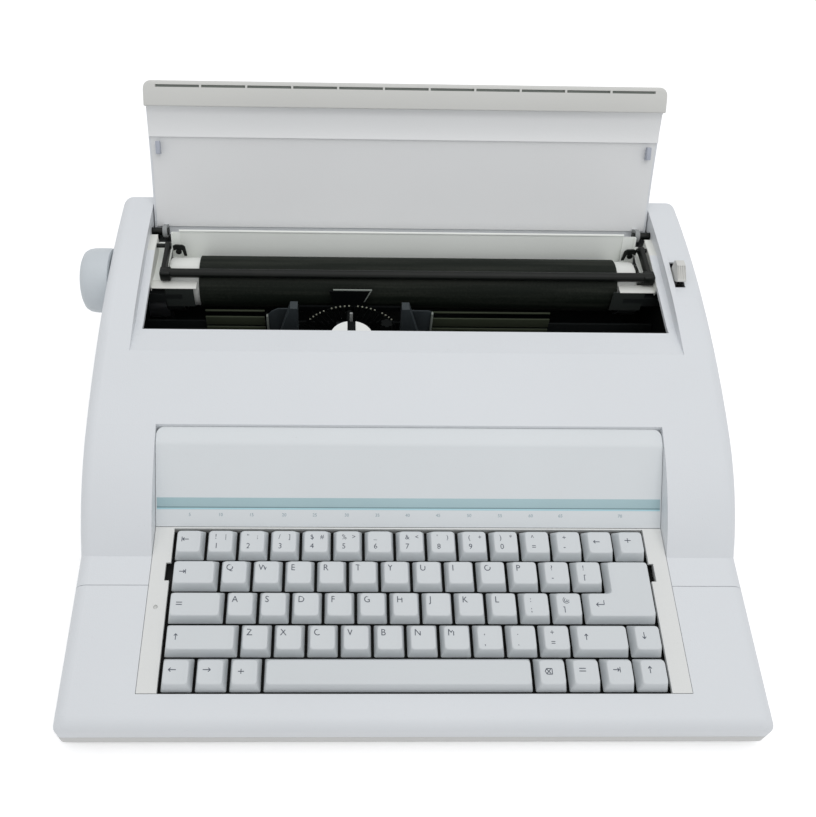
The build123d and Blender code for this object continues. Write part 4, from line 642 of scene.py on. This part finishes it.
def glyph(text, height):
    """Flat letters as a thin solid: points from the lower left, and faces. Height is that of a capital."""
    curve = bpy.data.curves.new("glyph", "FONT")
    curve.body = text
    curve.size = height / CAPITAL_SHARE
    curve.resolution_u = 3
    curve.extrude = INK_HALF
    holder = add_object("glyph", curve)
    mesh = bpy.data.meshes.new_from_object(holder.evaluated_get(bpy.context.evaluated_depsgraph_get()))
    points = np.empty(len(mesh.vertices) * 3)
    mesh.vertices.foreach_get("co", points)
    faces = [list(polygon.vertices) for polygon in mesh.polygons]
    bpy.data.objects.remove(holder)
    bpy.data.curves.remove(curve)
    bpy.data.meshes.remove(mesh)
    return points.reshape(-1, 3), faces


# Generic marks about a middle point, each of some lines of straight strokes
MARKS = {
    "left": [((-1, 0), (1, 0)), ((-1, 0), (-0.4, 0.5)), ((-1, 0), (-0.4, -0.5))],
    "right": [((-1, 0), (1, 0)), ((1, 0), (0.4, 0.5)), ((1, 0), (0.4, -0.5))],
    "up": [((0, -0.9), (0, 0.9)), ((0, 0.9), (0.5, 0.3)), ((0, 0.9), (-0.5, 0.3))],
    "down": [((0, -0.9), (0, 0.9)), ((0, -0.9), (0.5, -0.3)), ((0, -0.9), (-0.5, -0.3))],
    "stop_left": [((-1, -0.7), (-1, 0.7)), ((-0.8, 0), (0.9, 0)), ((-0.8, 0), (-0.3, 0.45)),
                  ((-0.8, 0), (-0.3, -0.45))],
    "stop_right": [((1, -0.7), (1, 0.7)), ((0.8, 0), (-0.9, 0)), ((0.8, 0), (0.3, 0.45)), ((0.8, 0), (0.3, -0.45))],
    "turn": [((1, 0.8), (1, -0.3), (-1, -0.3)), ((-1, -0.3), (-0.4, 0.2)), ((-1, -0.3), (-0.4, -0.8))],
    "cross": [((-0.6, -0.6), (0.6, 0.6)), ((-0.6, 0.6), (0.6, -0.6)),
              ((-1.1, 0), (-0.6, 0.8), (1, 0.8), (1, -0.8), (-0.6, -0.8), (-1.1, 0))],
    "bars": [((-0.9, 0.35), (0.9, 0.35)), ((-0.9, -0.35), (0.9, -0.35))],
    "mark": [((-0.9, 0), (0.9, 0)), ((0, -0.7), (0, 0.7))],
}
STROKE_HALF = 0.225
FUNCTION_MARKS = ["stop_left", "mark", "down", "left", "right", "bars", "stop_right", "up"]
NODE_MARKS = {
    "backspace_key": "left", "tab_key": "stop_right", "shift_lock_key": "bars", "left_shift_key": "up",
    "right_shift_key": "up", "code_key": "mark", "correction_key": "cross",
}


def strokes(kind, size):
    """Mark of thin bars: every stroke is its line widened by half a stroke to both sides."""
    bars = []
    for line in MARKS[kind]:
        for start, end in zip(line, line[1:]):
            start, end = np.array(start, dtype=float) * size, np.array(end, dtype=float) * size
            along = (end - start) / np.linalg.norm(end - start)
            side = np.array([-along[1], along[0]]) * STROKE_HALF
            bars.append(bar_between([start - side, end - side, end + side, start + side], -INK_HALF, INK_HALF, "z"))
    return merged(bars)


def on_cap(surface, across, along, box):
    """Lays flat letters on a cap's dished top, sunk a little into it."""
    points, faces = surface
    points = points + (across, along, KEY_TOP - INK_SINK)
    points[:, 2] -= cap_dish(points[:, 0], points[:, 1], rim_box(box))
    return points, faces


def cap_legends(node, legend, box, marks):
    """Legends of a cap, set from the left and the back or front of its top."""
    left, _, front, back = rim_box(box)
    if node == "function_keys":
        return [on_cap(strokes(marks.pop(0), 2.1), left + 5.0, back - 5.2, box)]
    if node in NODE_MARKS:
        return [on_cap(strokes(NODE_MARKS[node], 1.9), left + 5.0, (box[2] + box[3]) / 2 + 0.5, box)]
    if " " not in legend:
        return [on_cap(glyph(legend, 3.8), left + 1.9, back - 5.3, box)] if legend else []
    places = ((3.4, left + 3.4, front + 2.3), (3.1, left + 3.4, back - 4.9), (2.8, left + 9.4, back - 4.7))
    return [on_cap(glyph(sign, height), x, y, box) for sign, (height, x, y) in zip(legend.split(" "), places)]


def add_keys():
    """Replaces every key node by detailed caps, and lays its legends on them."""
    caps, legends, marks = {}, {}, list(FUNCTION_MARKS)
    for node, legend, box in key_boxes():
        left, right, front, back = box
        corners = [(left, front, 1, 1), (right, front, -1, 1), (right, back, -1, -1), (left, back, 1, -1)]
        stems = [0.0] if right - left < BAR_CAP else [-BAR_STEM_RUN, 0.0, BAR_STEM_RUN]
        caps.setdefault(node, []).append(cap_surface(corners, box))
        caps[node] += [key_stem((left + right) / 2 + shift, (front + back) / 2) for shift in stems]
        legends.setdefault(node, []).extend(cap_legends(node, legend, box, marks))
    corners, box = return_corners()
    caps["return_key"] = [cap_surface(corners, box), key_stem(RETURN_STEM_X, KEY_MARGIN + 3 * KEY_PITCH)]
    legends["return_key"] = [on_cap(strokes("turn", 2.3), box[0] + 8.0, box[2] + 10.0, box)]
    for node, parts in caps.items():
        body = node + "_body"
        add_piece(node + "_caps", merged(parts), "key_plastic", body, (node,), 40.0, put_key)
        if legends[node]:
            ink = merged(legends[node])
            add_piece(node + "_legends", ink, "legend_ink", body, (), 40.0, put_key)


# Lid, drawn closed and then turned open. Depths are taken down from the cover's top line
LID_HALF = 175.7
LID_FRONT = 216.8
LID_SKIN = 2.5
BAR_HALF = 176.4
BAR_BACK = 233.1
BAR_CORNER = 5
COVE_BACK = 252.8
LINER_BACK = 313.6
LINER_HALF = 173.9
LINER_THICKNESS = 1.2
SLOT_COUNT = 11
SLOT_FRONT = 219.4
SLOT_BACK = 221.0
SLOT_DEPTH = 1.5
SLOT_PITCH = 30.71
SLOT_LENGTH = 29.3
BAR_UNDER = float(cover_height(LID_FRONT)) - LID_SKIN


def bar_depth(x):
    """How far the slots are cut at x: nothing between and beyond the eleven slots."""
    from_middle = abs(x / SLOT_PITCH - round(x / SLOT_PITCH)) * SLOT_PITCH
    return SLOT_DEPTH if from_middle < SLOT_LENGTH / 2 and abs(x) < SLOT_COUNT * SLOT_PITCH / 2 else 0.0


def bar_surface():
    """Front bar: at every x the same outline, the cover's line above, level below with a groove as deep as the slots
    there. Towards its two ends the front edge draws back by a quarter circle."""
    ends = [-BAR_HALF + BAR_CORNER * (1 - math.cos(math.radians(turn))) for turn in range(0, 91, 15)]
    stops = list(ends)
    for index in range(SLOT_COUNT):
        centre = (index - (SLOT_COUNT - 1) / 2) * SLOT_PITCH
        for edge in (-SLOT_LENGTH / 2, SLOT_LENGTH / 2):
            stops += [centre + edge - 0.02, centre + edge + 0.02]
    stops += [-stop for stop in ends][::-1]
    rings = []
    for x in stops:
        past = max(0.0, abs(x) - (BAR_HALF - BAR_CORNER)) / BAR_CORNER
        draw = BAR_CORNER * (1 - math.sqrt(max(0.0, 1 - past * past))) + (0.6 if past == 1 else 0.0)
        front, groove, behind = LID_FRONT + draw, SLOT_FRONT + draw, SLOT_BACK + draw
        depth = bar_depth(x)
        level = np.array([
            (front, 1.4), (front + 0.15, 0.7), (front + 0.5, 0.25), (front + 1.1, 0), (groove, 0),
            (groove + 0.05, depth), (behind, depth), (behind + 0.05, 0), (BAR_BACK - 0.8, 0),
            (BAR_BACK - 0.25, 0.2), (BAR_BACK, 0.7),
        ]) + (0, BAR_UNDER)
        back = np.linspace(BAR_BACK, front, 7)
        top = np.stack([back, cover_height(back) - 0.3], axis=1)
        top[-1, 0] += 0.25
        line = np.concatenate([level, top])
        rings.append(np.insert(line, 0, x, axis=1))
    return loop_surface(rings)


def liner_sheet():
    """Liner under the lid's skin: the cover's line less the skin, carried across the lid to near its two edges."""
    y = np.linspace(COVE_BACK, LINER_BACK, 17)
    upper = np.stack([y, cover_height(y) - LID_SKIN], axis=1)
    lower = (upper - (0, LINER_THICKNESS))[::-1]
    return bar_between(np.concatenate([upper, lower]), -LINER_HALF, LINER_HALF, "x", 0.2)


def cove_surface():
    """Hollow behind the bar: hangs from the skin's underside steeply near the bar, by a power of the distance from it,
    and again towards the liner by the cube of the distance; closed above inside the skin."""
    share = np.linspace(0, 1, 17)
    y = BAR_BACK - 0.4 + share * (COVE_BACK + 0.4 - BAR_BACK)
    roof = cover_height(y) - LID_SKIN
    hang = 2.6 * np.clip(1 - share / 0.22, 0, 1) ** 1.6 + 0.25 + 2.5 * share**3.0
    lower = np.stack([y, roof - hang], axis=1)
    upper = np.stack([y[::-1], roof[::-1] + 0.8], axis=1)
    return bar_between(np.concatenate([lower, upper]), -LID_HALF + 0.5, LID_HALF - 0.5, "x", 0.3)


def add_lid_pieces():
    """Front bar with its slots, a dark strip in the slots as painted shade, the hollow behind the bar, the liner and
    its two catches.
    """
    def lid_piece(name, surface, finish, replaces=(), sharp=35.0):
        add_piece(name, surface, finish, "lid_body", replaces, sharp, put_lid)

    lid_piece("front_bar", bar_surface(), "bar_plastic", ("lid_front_bar",), 30.0)
    # Dark strip along the bottoms of the slots: painted shade where the grooves lie in shadow
    half = SLOT_COUNT * SLOT_PITCH / 2 - 1
    floor = BAR_UNDER + SLOT_DEPTH
    floor_low, floor_high = (-half, SLOT_FRONT + 0.1, floor - 0.25), (half, SLOT_BACK - 0.05, floor + 0.4)
    lid_piece("slot_shadow_strip", rounded_block(floor_low, floor_high, 0.2, "x", 0.1), "slot_painted_shade")
    lid_piece("lid_cove", cove_surface(), "liner_plastic", (), 50.0)
    lid_piece("liner_sheet", liner_sheet(), "liner_plastic", ("lid_liner",), 30.0)
    roof = float(cover_height(260.0)) - LID_SKIN
    catch = (167.7, 170.5, (255.8, roof - 5.3), (264.2, roof + 0.5), 0.3, 0.1)
    lid_piece("lid_catches", merged([side_block(side, *catch) for side in (-1, 1)]), "catch_plastic")


PANEL_FOOT = (114.8, 47.2)
PANEL_TURN = math.radians(43.75)
STRIPE_HALF = 154.6
SCALE_PLACES = (
    -134.6, -115.3, -96.5, -77.1, -58.4, -38.9, -20.1, -1.2, 17.6, 36.5, 55.5, 74.4, 92.8, 130.2,
)
SCALE_STEP = 5
SCALE_RISE = 6.6


def put_print(points):
    """Points across, up the label panel's face and out of it."""
    return put_turned(points, PANEL_FOOT, PANEL_TURN)


def add_panel_prints():
    """Stripes across the label panel and a plain scale of numbers under them."""
    def print_piece(name, surface, finish):
        add_piece(name, surface, finish, "case", (), 40.0, put_print)

    for name, low, high in (("band", 12.4, 18.0), ("line", 11.7, 12.4), ("thread", 10.7, 11.7)):
        stripe = rounded_block((-STRIPE_HALF, low, -0.2), (STRIPE_HALF, high, 0.05), 0.04, "x", 0.04)
        print_piece("panel_" + name, stripe, name + "_ink")
    numbers = []
    for index, x in enumerate(SCALE_PLACES):
        points, faces = glyph(str((index + 1) * SCALE_STEP), 2.0)
        numbers.append((points + (x - points[:, 0].mean(), SCALE_RISE, -INK_SINK), faces))
    print_piece("panel_scale", merged(numbers), "pale_ink")


def add_knob():
    """Smooth barrel of the platen knob: radius over length, hollow towards the case and eased at its end."""
    profile = [
        (0.05, -200.9), (17.5, -200.9), (20.6, -200.6), (22.0, -201.4), (22.4, -203.0), (22.5, -209.0), (22.3, -214.0),
        (21.7, -217.2), (20.3, -219.5), (18.0, -220.7), (14.0, -221.0), (6.0, -220.6), (0.05, -220.5),
    ]
    barrel = lathe(profile, PLATEN_CENTRE, "x", 96)
    add_piece("knob_barrel", barrel, "knob_plastic", "platen_body", ("platen_knob",), 40.0)


WHEEL_X = CARRIAGE_X + 1.1
WHEEL_PLACE = (260.2, 56.7)
PETAL_REACH = 37.4
PETAL_TURN = 4.65
SHIELD_Y = 228.0
SHIELD_RADIUS = 14
SHIELD_SLIT = 2.7
LEFT_PLATE = [(-93.0, 87.0), (-90.2, 90.2), (-86.0, 92.6), (-76.0, 92.6), (-80.0, 60.0), (-93.0, 60.0)]
RIGHT_PLATE = [(19.0, 90.4), (17.1, 91.6), (10.9, 91.6), (2.0, 91.6), (6.0, 60.0), (19.0, 60.0)]


def add_print_parts():
    """What shows of the printing works through the well: the wheel's petal tips, the half discs over it, the pointer,
    the card's rim and the ribbon arms' plates and edges."""
    def carriage_piece(name, surface, finish, sharp=35.0):
        add_piece(name, surface, finish, "carriage_body", (), sharp)

    wheel_y, wheel_z = WHEEL_PLACE
    tips = []
    for index in range(-11, 12):
        turn = math.radians(90 + (index + 0.5) * PETAL_TURN)
        centre = (WHEEL_X + PETAL_REACH * math.cos(turn), wheel_y, wheel_z + PETAL_REACH * math.sin(turn))
        if index % 6 != 5:
            tips.append(lathe([(0.1, -0.45), (0.55, -0.3), (0.62, 0.0), (0.5, 0.3), (0.1, 0.4)], centre, "y", 10))
    add_piece("petal_tips", merged(tips), "tip_plastic", "daisy_wheel_body")
    edge = math.acos(SHIELD_SLIT / SHIELD_RADIUS)
    turns = np.linspace(-edge, edge, 25)
    across, along = SHIELD_RADIUS * np.cos(turns), SHIELD_Y + SHIELD_RADIUS * np.sin(turns)
    outlines = [np.stack([WHEEL_X + sign * across, along], axis=1) for sign in (-1, 1)]
    halves = [bar_between(outline, 97.3, 98.0, "z", 0.15) for outline in outlines]
    carriage_piece("ribbon_shield", merged(halves), "hub_plastic", 30.0)
    x = CARRIAGE_X
    pointer = rounded_block((x - 0.1, 247.0, 62.0), (x + 2.0, 248.2, 100.0), 0.5, "z")
    carriage_piece("type_pointer", pointer, "dull_steel")
    slant = [(x + 14.0, 103.6), (x + 14.9, 103.6), (x + 10.4, 93.0), (x + 9.6, 93.0)]
    rim = [
        rounded_block((x - 11.4, 264.9, 103.4), (x + 15.0, 265.9, 104.5), 0.35, "x"),
        bar_between(slant, 265.1, 265.8, "y", 0.1),
    ]
    carriage_piece("card_rim", merged(rim), "rim_plastic")
    plates = [bar_between(outline, 258.4, 259.2, "y", 0.2) for outline in (LEFT_PLATE, RIGHT_PLATE)]
    carriage_piece("ribbon_plates", merged(plates), "arm_plastic")
    ends = [
        rounded_block((low, 257.0, 60.0), (high, 259.6, top), 0.4, "z")
        for low, high, top in ((-94.2, -92.8, 86.6), (18.8, 20.2, 90.0))
    ]
    carriage_piece("ribbon_edges", merged(ends), "rim_plastic")


SEAT_FRONT = 209.0
SEAT_BEND = 234.1
SEAT_BACK = 295.0
SEAT_TOP = 112.2
CHEEK_FRONT = 266.8
SKIRT_LINE = [(266.32, 86.4), (266.56, 86.2), (267.6, 102.2), (267.0, 102.2)]
CHUTE_FACE = np.array([(303.6, 92.6), (313.1, 113.0), (313.9, 112.6), (304.4, 92.2)])
CHUTE_RIB = CHUTE_FACE + [(-1.6, 0), (-1.6, 0.4), (0, 0), (0, 0)]
LIP_LINE = [
    (274.5, 102.0), (300.0, 100.7), (306.0, 102.0), (310.2, 106.2), (309.6, 106.8), (305.5, 102.9), (299.8, 101.6),
    (274.5, 102.8),
]
BRACKET_LINE = np.array([
    (160.9, 104.4), (160.9, 108.2), (159.0, 109.2), (154.0, 109.0), (152.4, 107.4), (151.9, 99.6), (153.6, 99.6),
    (154.6, 104.9), (158.0, 105.8),
])
BRACKET_EYE = [(0.9, 0), (1.9, 0), (2.1, 0.3), (2.1, 1.1), (1.9, 1.4), (0.9, 1.4)]
# Left and right: where the ledge starts, where skirt and sheet end, the sheet's rib, the lip's start, bracket's shift
WELL_SIDES = (
    (-1, 141.2, 162.4, 161.6, (161.2, 162.5), 162.4, 0.0),
    (1, 147.5, 165.0, 165.2, (164.5, 165.7), 165.8, 4.6),
)


def seat_rise(y):
    """Height of the lid's seat at y behind its level part."""
    level = float(cover_height(SEAT_FRONT)) - 0.6
    return level + (y - SEAT_BEND) / (SEAT_BACK - SEAT_BEND) * (SEAT_TOP - level) - 0.3


def add_well_pieces():
    """Bands of the shield under the platen, a dark sheet over the pan as painted shade, and at both ends of the well
    the seat's end, the cheek, the ledge with a dark skirt under it as painted shade, the chute's side sheets and its
    bracket."""
    bands = [
        rounded_block((low, back, foot), (high, back + 1.2, top), 0.5, "x")
        for low, high in ((-137.0, -96.0), (20.0, 103.0))
        for back, foot, top in ((263.0, 71.8, 79.8), (262.4, 66.0, 70.6), (265.0, 82.6, 84.0))
    ]
    add_piece("shield_bands", merged(bands), "shield_paint", "case")
    # Near-black sheet over the back of the pan: painted shade where the well is dark behind the mechanism
    pan = rounded_block((-178.0, 286.0, 29.1), (178.0, 332.0, 30.1), 0.4, "x")
    add_piece("pan_shadow_sheet", pan, "pan_painted_shade", "case")
    seats, cheeks, ledges, skirts, sheets, brackets = [], [], [], [], [], []
    cheek_line = [
        (CHEEK_FRONT, 100.4), (309.5, 100.4), (309.5, 111.9), (SEAT_BACK, 111.9), (CHEEK_FRONT, seat_rise(CHEEK_FRONT)),
    ]
    for side, ledge, skirt, sheet, rib, lip, shift in WELL_SIDES:
        seats.append(side_block(side, 171.5, 176.8, (294.6, 111.5), (311.4, SEAT_TOP), 0.3, 0.1))
        cheeks.append(side_bar(side, 171.3, 171.9, cheek_line))
        ledges.append(side_block(side, ledge, 171.5, (CHEEK_FRONT, 102.0), (274.4, 102.8), 0.35, 0.2))
        # Dark skirt hanging under the ledge: painted shade over the shadowed lower part of the platen cap
        skirts.append(side_bar(side, 143.4, skirt, SKIRT_LINE))
        sheets.append(side_bar(side, 156.6, sheet, CHUTE_FACE))
        sheets.append(side_bar(side, *rib, CHUTE_RIB, 0.2))
        sheets.append(side_bar(side, lip, 171.4, LIP_LINE))
        brackets.append(bar_between((BRACKET_LINE + (shift, 0)) * (side, 1), 303.2, 304.6, "y", 0.2))
        brackets.append(lathe(BRACKET_EYE, (side * (157.4 + shift), 303.2, 103.0), "y", 24))
    for name, parts, finish, slot in (
        ("seat_ends", seats, "seat_plastic", "case_plastic"), ("well_cheeks", cheeks, "seat_plastic", "case_plastic"),
        ("guide_ledges", ledges, "seat_plastic", "case_plastic"),
        ("ledge_shadow_skirts", skirts, "skirt_painted_shade", "plate_steel"),
        ("chute_sides", sheets, "chute_paint_and_shade", "case_plastic"),
        ("chute_brackets", brackets, "bail_lacquer", "black_plastic"),
    ):
        add_piece(name, merged(parts), finish, "case")


BAIL_BAR = np.array([275.6, 108.7])
BAIL_PIN = np.array([302.0, 110.0])
BAIL_ARM_HALF = 2.9
CAP_RADIUS = 16.6


def add_roller_ends():
    """End caps of the platen, and the paper bail with its two arms, which stands a little to the right."""
    caps = []
    for inner, outer in ((-140.2, -161.8), (147.2, 161.8)):
        sign = 1 if outer > 0 else -1
        profile = [
            (0.05, inner), (CAP_RADIUS, inner), (CAP_RADIUS, outer - sign * 3.2), (16.1, outer - sign * 1.2),
            (14.8, outer - sign * 0.3), (13.6, outer), (5.2, outer), (5.2, inner + sign * 2), (0.05, inner + sign * 2),
        ]
        caps.append(lathe(profile, PLATEN_CENTRE, "x", 64))
    add_piece("roller_caps", merged(caps), "cap_plastic", "platen_body", ("platen_end_caps",), 40.0)
    bar_y, bar_z = BAIL_BAR
    along = (BAIL_PIN - BAIL_BAR) / np.linalg.norm(BAIL_PIN - BAIL_BAR)
    side = np.array([-along[1], along[0]])
    turns = np.radians((-90, -60, -30, 0, 30, 60, 90))
    tip = [BAIL_PIN + BAIL_ARM_HALF * (math.cos(turn) * along + math.sin(turn) * side) for turn in turns]
    arm_line = [BAIL_BAR - BAIL_ARM_HALF * side, *tip, BAIL_BAR + BAIL_ARM_HALF * side]
    bail = [rod(-164.0, 169.0, 3.1, BAIL_BAR, 32)]
    for low, high, arm in ((-165.6, -158.4, (-164.9, -161.9)), (163.4, 170.9, (166.0, 169.0))):
        bail.append(rounded_block((low, bar_y - 3.8, bar_z - 4.6), (high, bar_y + 3.8, bar_z + 3.0), 1.4, "x", 0.8))
        bail.append(bar_between(arm_line, *arm, "x", 0.4))
        bail.append(rod(arm[0] - 0.4, arm[1] + 0.4, 2.4, BAIL_PIN, 24))
    add_piece("bail_frame", merged(bail), "bail_lacquer", "paper_bail_body", ("paper_bail",), 40.0)


CORNER_REACH = 12.5
CORNER_RADIUS = 3.5
CORNER_LIFT = 0.04
PALM_EDGE = 8


def corner_ring(side, inset, low_z, follow):
    """Outline of a front corner drawn in by inset, with a rounded upright edge; it follows the palm's slope by a
    share."""
    right, front = HALF_WIDTH + CORNER_LIFT - inset, inset - CORNER_LIFT
    inner_x = HALF_WIDTH - CORNER_REACH
    outline = [(inner_x, front)]
    for turn in np.radians(np.linspace(0, 90, 7)):
        across, along = CORNER_RADIUS * (1 - math.sin(turn)), CORNER_RADIUS * (1 - math.cos(turn))
        outline.append((right - across, front + along))
    outline += [(right, CORNER_REACH), (inner_x, CORNER_REACH)]
    return [(side * x, y, low_z + follow * y * math.tan(PALM_SLOPE)) for x, y in outline]


def add_front_corners():
    """Squarer front corners over the two shells: rings drawn in by a quarter circle towards the palm."""
    upper, lower = [], []
    for side in (-1, 1):
        rings = [corner_ring(side, 0.0, 14.35, 0.0)]
        for turn in np.radians(np.linspace(0, 80, 9)):
            height = PALM_FRONT - PALM_EDGE + PALM_EDGE * math.sin(turn) + 0.03
            rings.append(corner_ring(side, PALM_EDGE * (1 - math.cos(turn)), height, 1.0))
        rings.append(corner_ring(side, 7.6, PALM_FRONT - 0.4, 1.0))
        upper.append(loop_surface(rings))
        steps = ((1.7, 4.05), (0.8, 4.7), (0.25, 5.6), (0.0, 6.7), (0.0, 13.97))
        lower.append(loop_surface([corner_ring(side, inset, height, 0.0) for inset, height in steps]))
    add_piece("palm_corners", merged(upper), "case_plastic", "case", (), 30.0)
    add_piece("tray_corners", merged(lower), "tray_plastic", "case", (), 30.0)


# Camera, fitted to the key rows and the case's edges. A frame 816 wide and 817 high
CAMERA_PLACE = (-43.88, -157.64, 501.50)
CAMERA_RIGHT = Vector((0.99975, -0.00837, 0.02096))
CAMERA_UP = Vector((-0.00708, 0.76537, 0.64355))
CAMERA_BACK = Vector((-0.02143, -0.64354, 0.76511))
CAMERA_FOCUS = 852.5
CAMERA_CENTRE = (357.55, 390.47)
FRAME_WIDTH = 816
FRAME_HEIGHT = 817
SENSOR_WIDTH = 36.0
WORLD_STRENGTH = 0.645
FLOOR_GLOW = 0.35
FLOOR_HALF = 3.0
FLOOR_LEVEL = -0.0002


def add_camera():
    data = bpy.data.cameras.new("view_camera")
    data.sensor_width = SENSOR_WIDTH
    data.sensor_fit = "HORIZONTAL"
    data.lens = CAMERA_FOCUS / FRAME_WIDTH * SENSOR_WIDTH
    data.shift_x = (FRAME_WIDTH / 2 - CAMERA_CENTRE[0]) / FRAME_WIDTH
    data.shift_y = (CAMERA_CENTRE[1] - FRAME_HEIGHT / 2) / FRAME_WIDTH
    data.clip_start = 0.01
    camera = add_object("view_camera", data)
    turn = Matrix((CAMERA_RIGHT, CAMERA_UP, CAMERA_BACK)).transposed().to_4x4()
    camera.matrix_world = Matrix.Translation(Vector(place(CAMERA_PLACE).tolist())) @ turn
    bpy.context.scene.camera = camera


def add_lamp(name, spot, target, size, power):
    data = bpy.data.lights.new(name, "AREA")
    data.shape = "RECTANGLE"
    data.size, data.size_y = size
    data.energy = power
    lamp = add_object(name, data)
    lamp.location = spot
    lamp.rotation_euler = (Vector(target) - Vector(spot)).to_track_quat("-Z", "Y").to_euler()


def seen_directly(tree):
    """One for rays that meet the surface from the camera, in gloss or through glass."""
    path = tree.nodes.new("ShaderNodeLightPath")
    seen = math_node(tree, "MAXIMUM", path.outputs["Is Camera Ray"], path.outputs["Is Transmission Ray"])
    return math_node(tree, "MAXIMUM", seen, path.outputs["Is Glossy Ray"])


def add_stage():
    """Pale floor that keeps the machine's shadow, and a white world."""
    world = bpy.data.worlds.new("studio")
    bpy.context.scene.world = world
    world.use_nodes = True
    tree = world.node_tree
    tree.nodes.clear()
    soft = add_node(tree, "ShaderNodeBackground", Color=(0.97, 0.98, 1.0, 1), Strength=WORLD_STRENGTH)
    white = add_node(tree, "ShaderNodeBackground", Color=(1, 1, 1, 1), Strength=1.0)
    mix = add_node(tree, "ShaderNodeMixShader", n0=seen_directly(tree), n1=soft.outputs[0], n2=white.outputs[0])
    add_node(tree, "ShaderNodeOutputWorld", Surface=mix.outputs[0])

    mesh = bpy.data.meshes.new("studio_floor")
    corners = [(x * FLOOR_HALF, y * FLOOR_HALF, FLOOR_LEVEL) for x, y in ((-1, -1), (1, -1), (1, 1), (-1, 1))]
    mesh.from_pydata(corners, [], [(0, 1, 2, 3)])
    floor = add_object("studio_floor", mesh)
    material = bpy.data.materials.new("studio_floor")
    material.use_nodes = True
    tree = material.node_tree
    tree.nodes.clear()
    paper = add_node(tree, "ShaderNodeBsdfDiffuse", Color=(0.90, 0.90, 0.90, 1))
    glow = add_node(tree, "ShaderNodeEmission", Color=(1, 1, 1, 1), Strength=FLOOR_GLOW)
    both = add_node(tree, "ShaderNodeAddShader", n0=paper.outputs[0], n1=glow.outputs[0])
    mix = add_node(tree, "ShaderNodeMixShader", n0=seen_directly(tree), n1=paper.outputs[0], n2=both.outputs[0])
    add_node(tree, "ShaderNodeOutputMaterial", Surface=mix.outputs[0])
    mesh.materials.append(material)


def add_lights():
    add_lamp("key_light", (0.35, -0.55, 1.45), (0, 0, 0.05), (1.3, 1.0), 4.9)
    add_lamp("top_light", (-0.1, 0.35, 1.5), (0, 0, 0.05), (1.5, 1.0), 3.9)


bpy.context.scene.view_settings.view_transform = "Standard"
add_camera()
add_stage()
add_lights()
dress_nodes()
add_keys()
add_lid_pieces()
add_panel_prints()
add_knob()
add_print_parts()
add_well_pieces()
add_roller_ends()
add_front_corners()
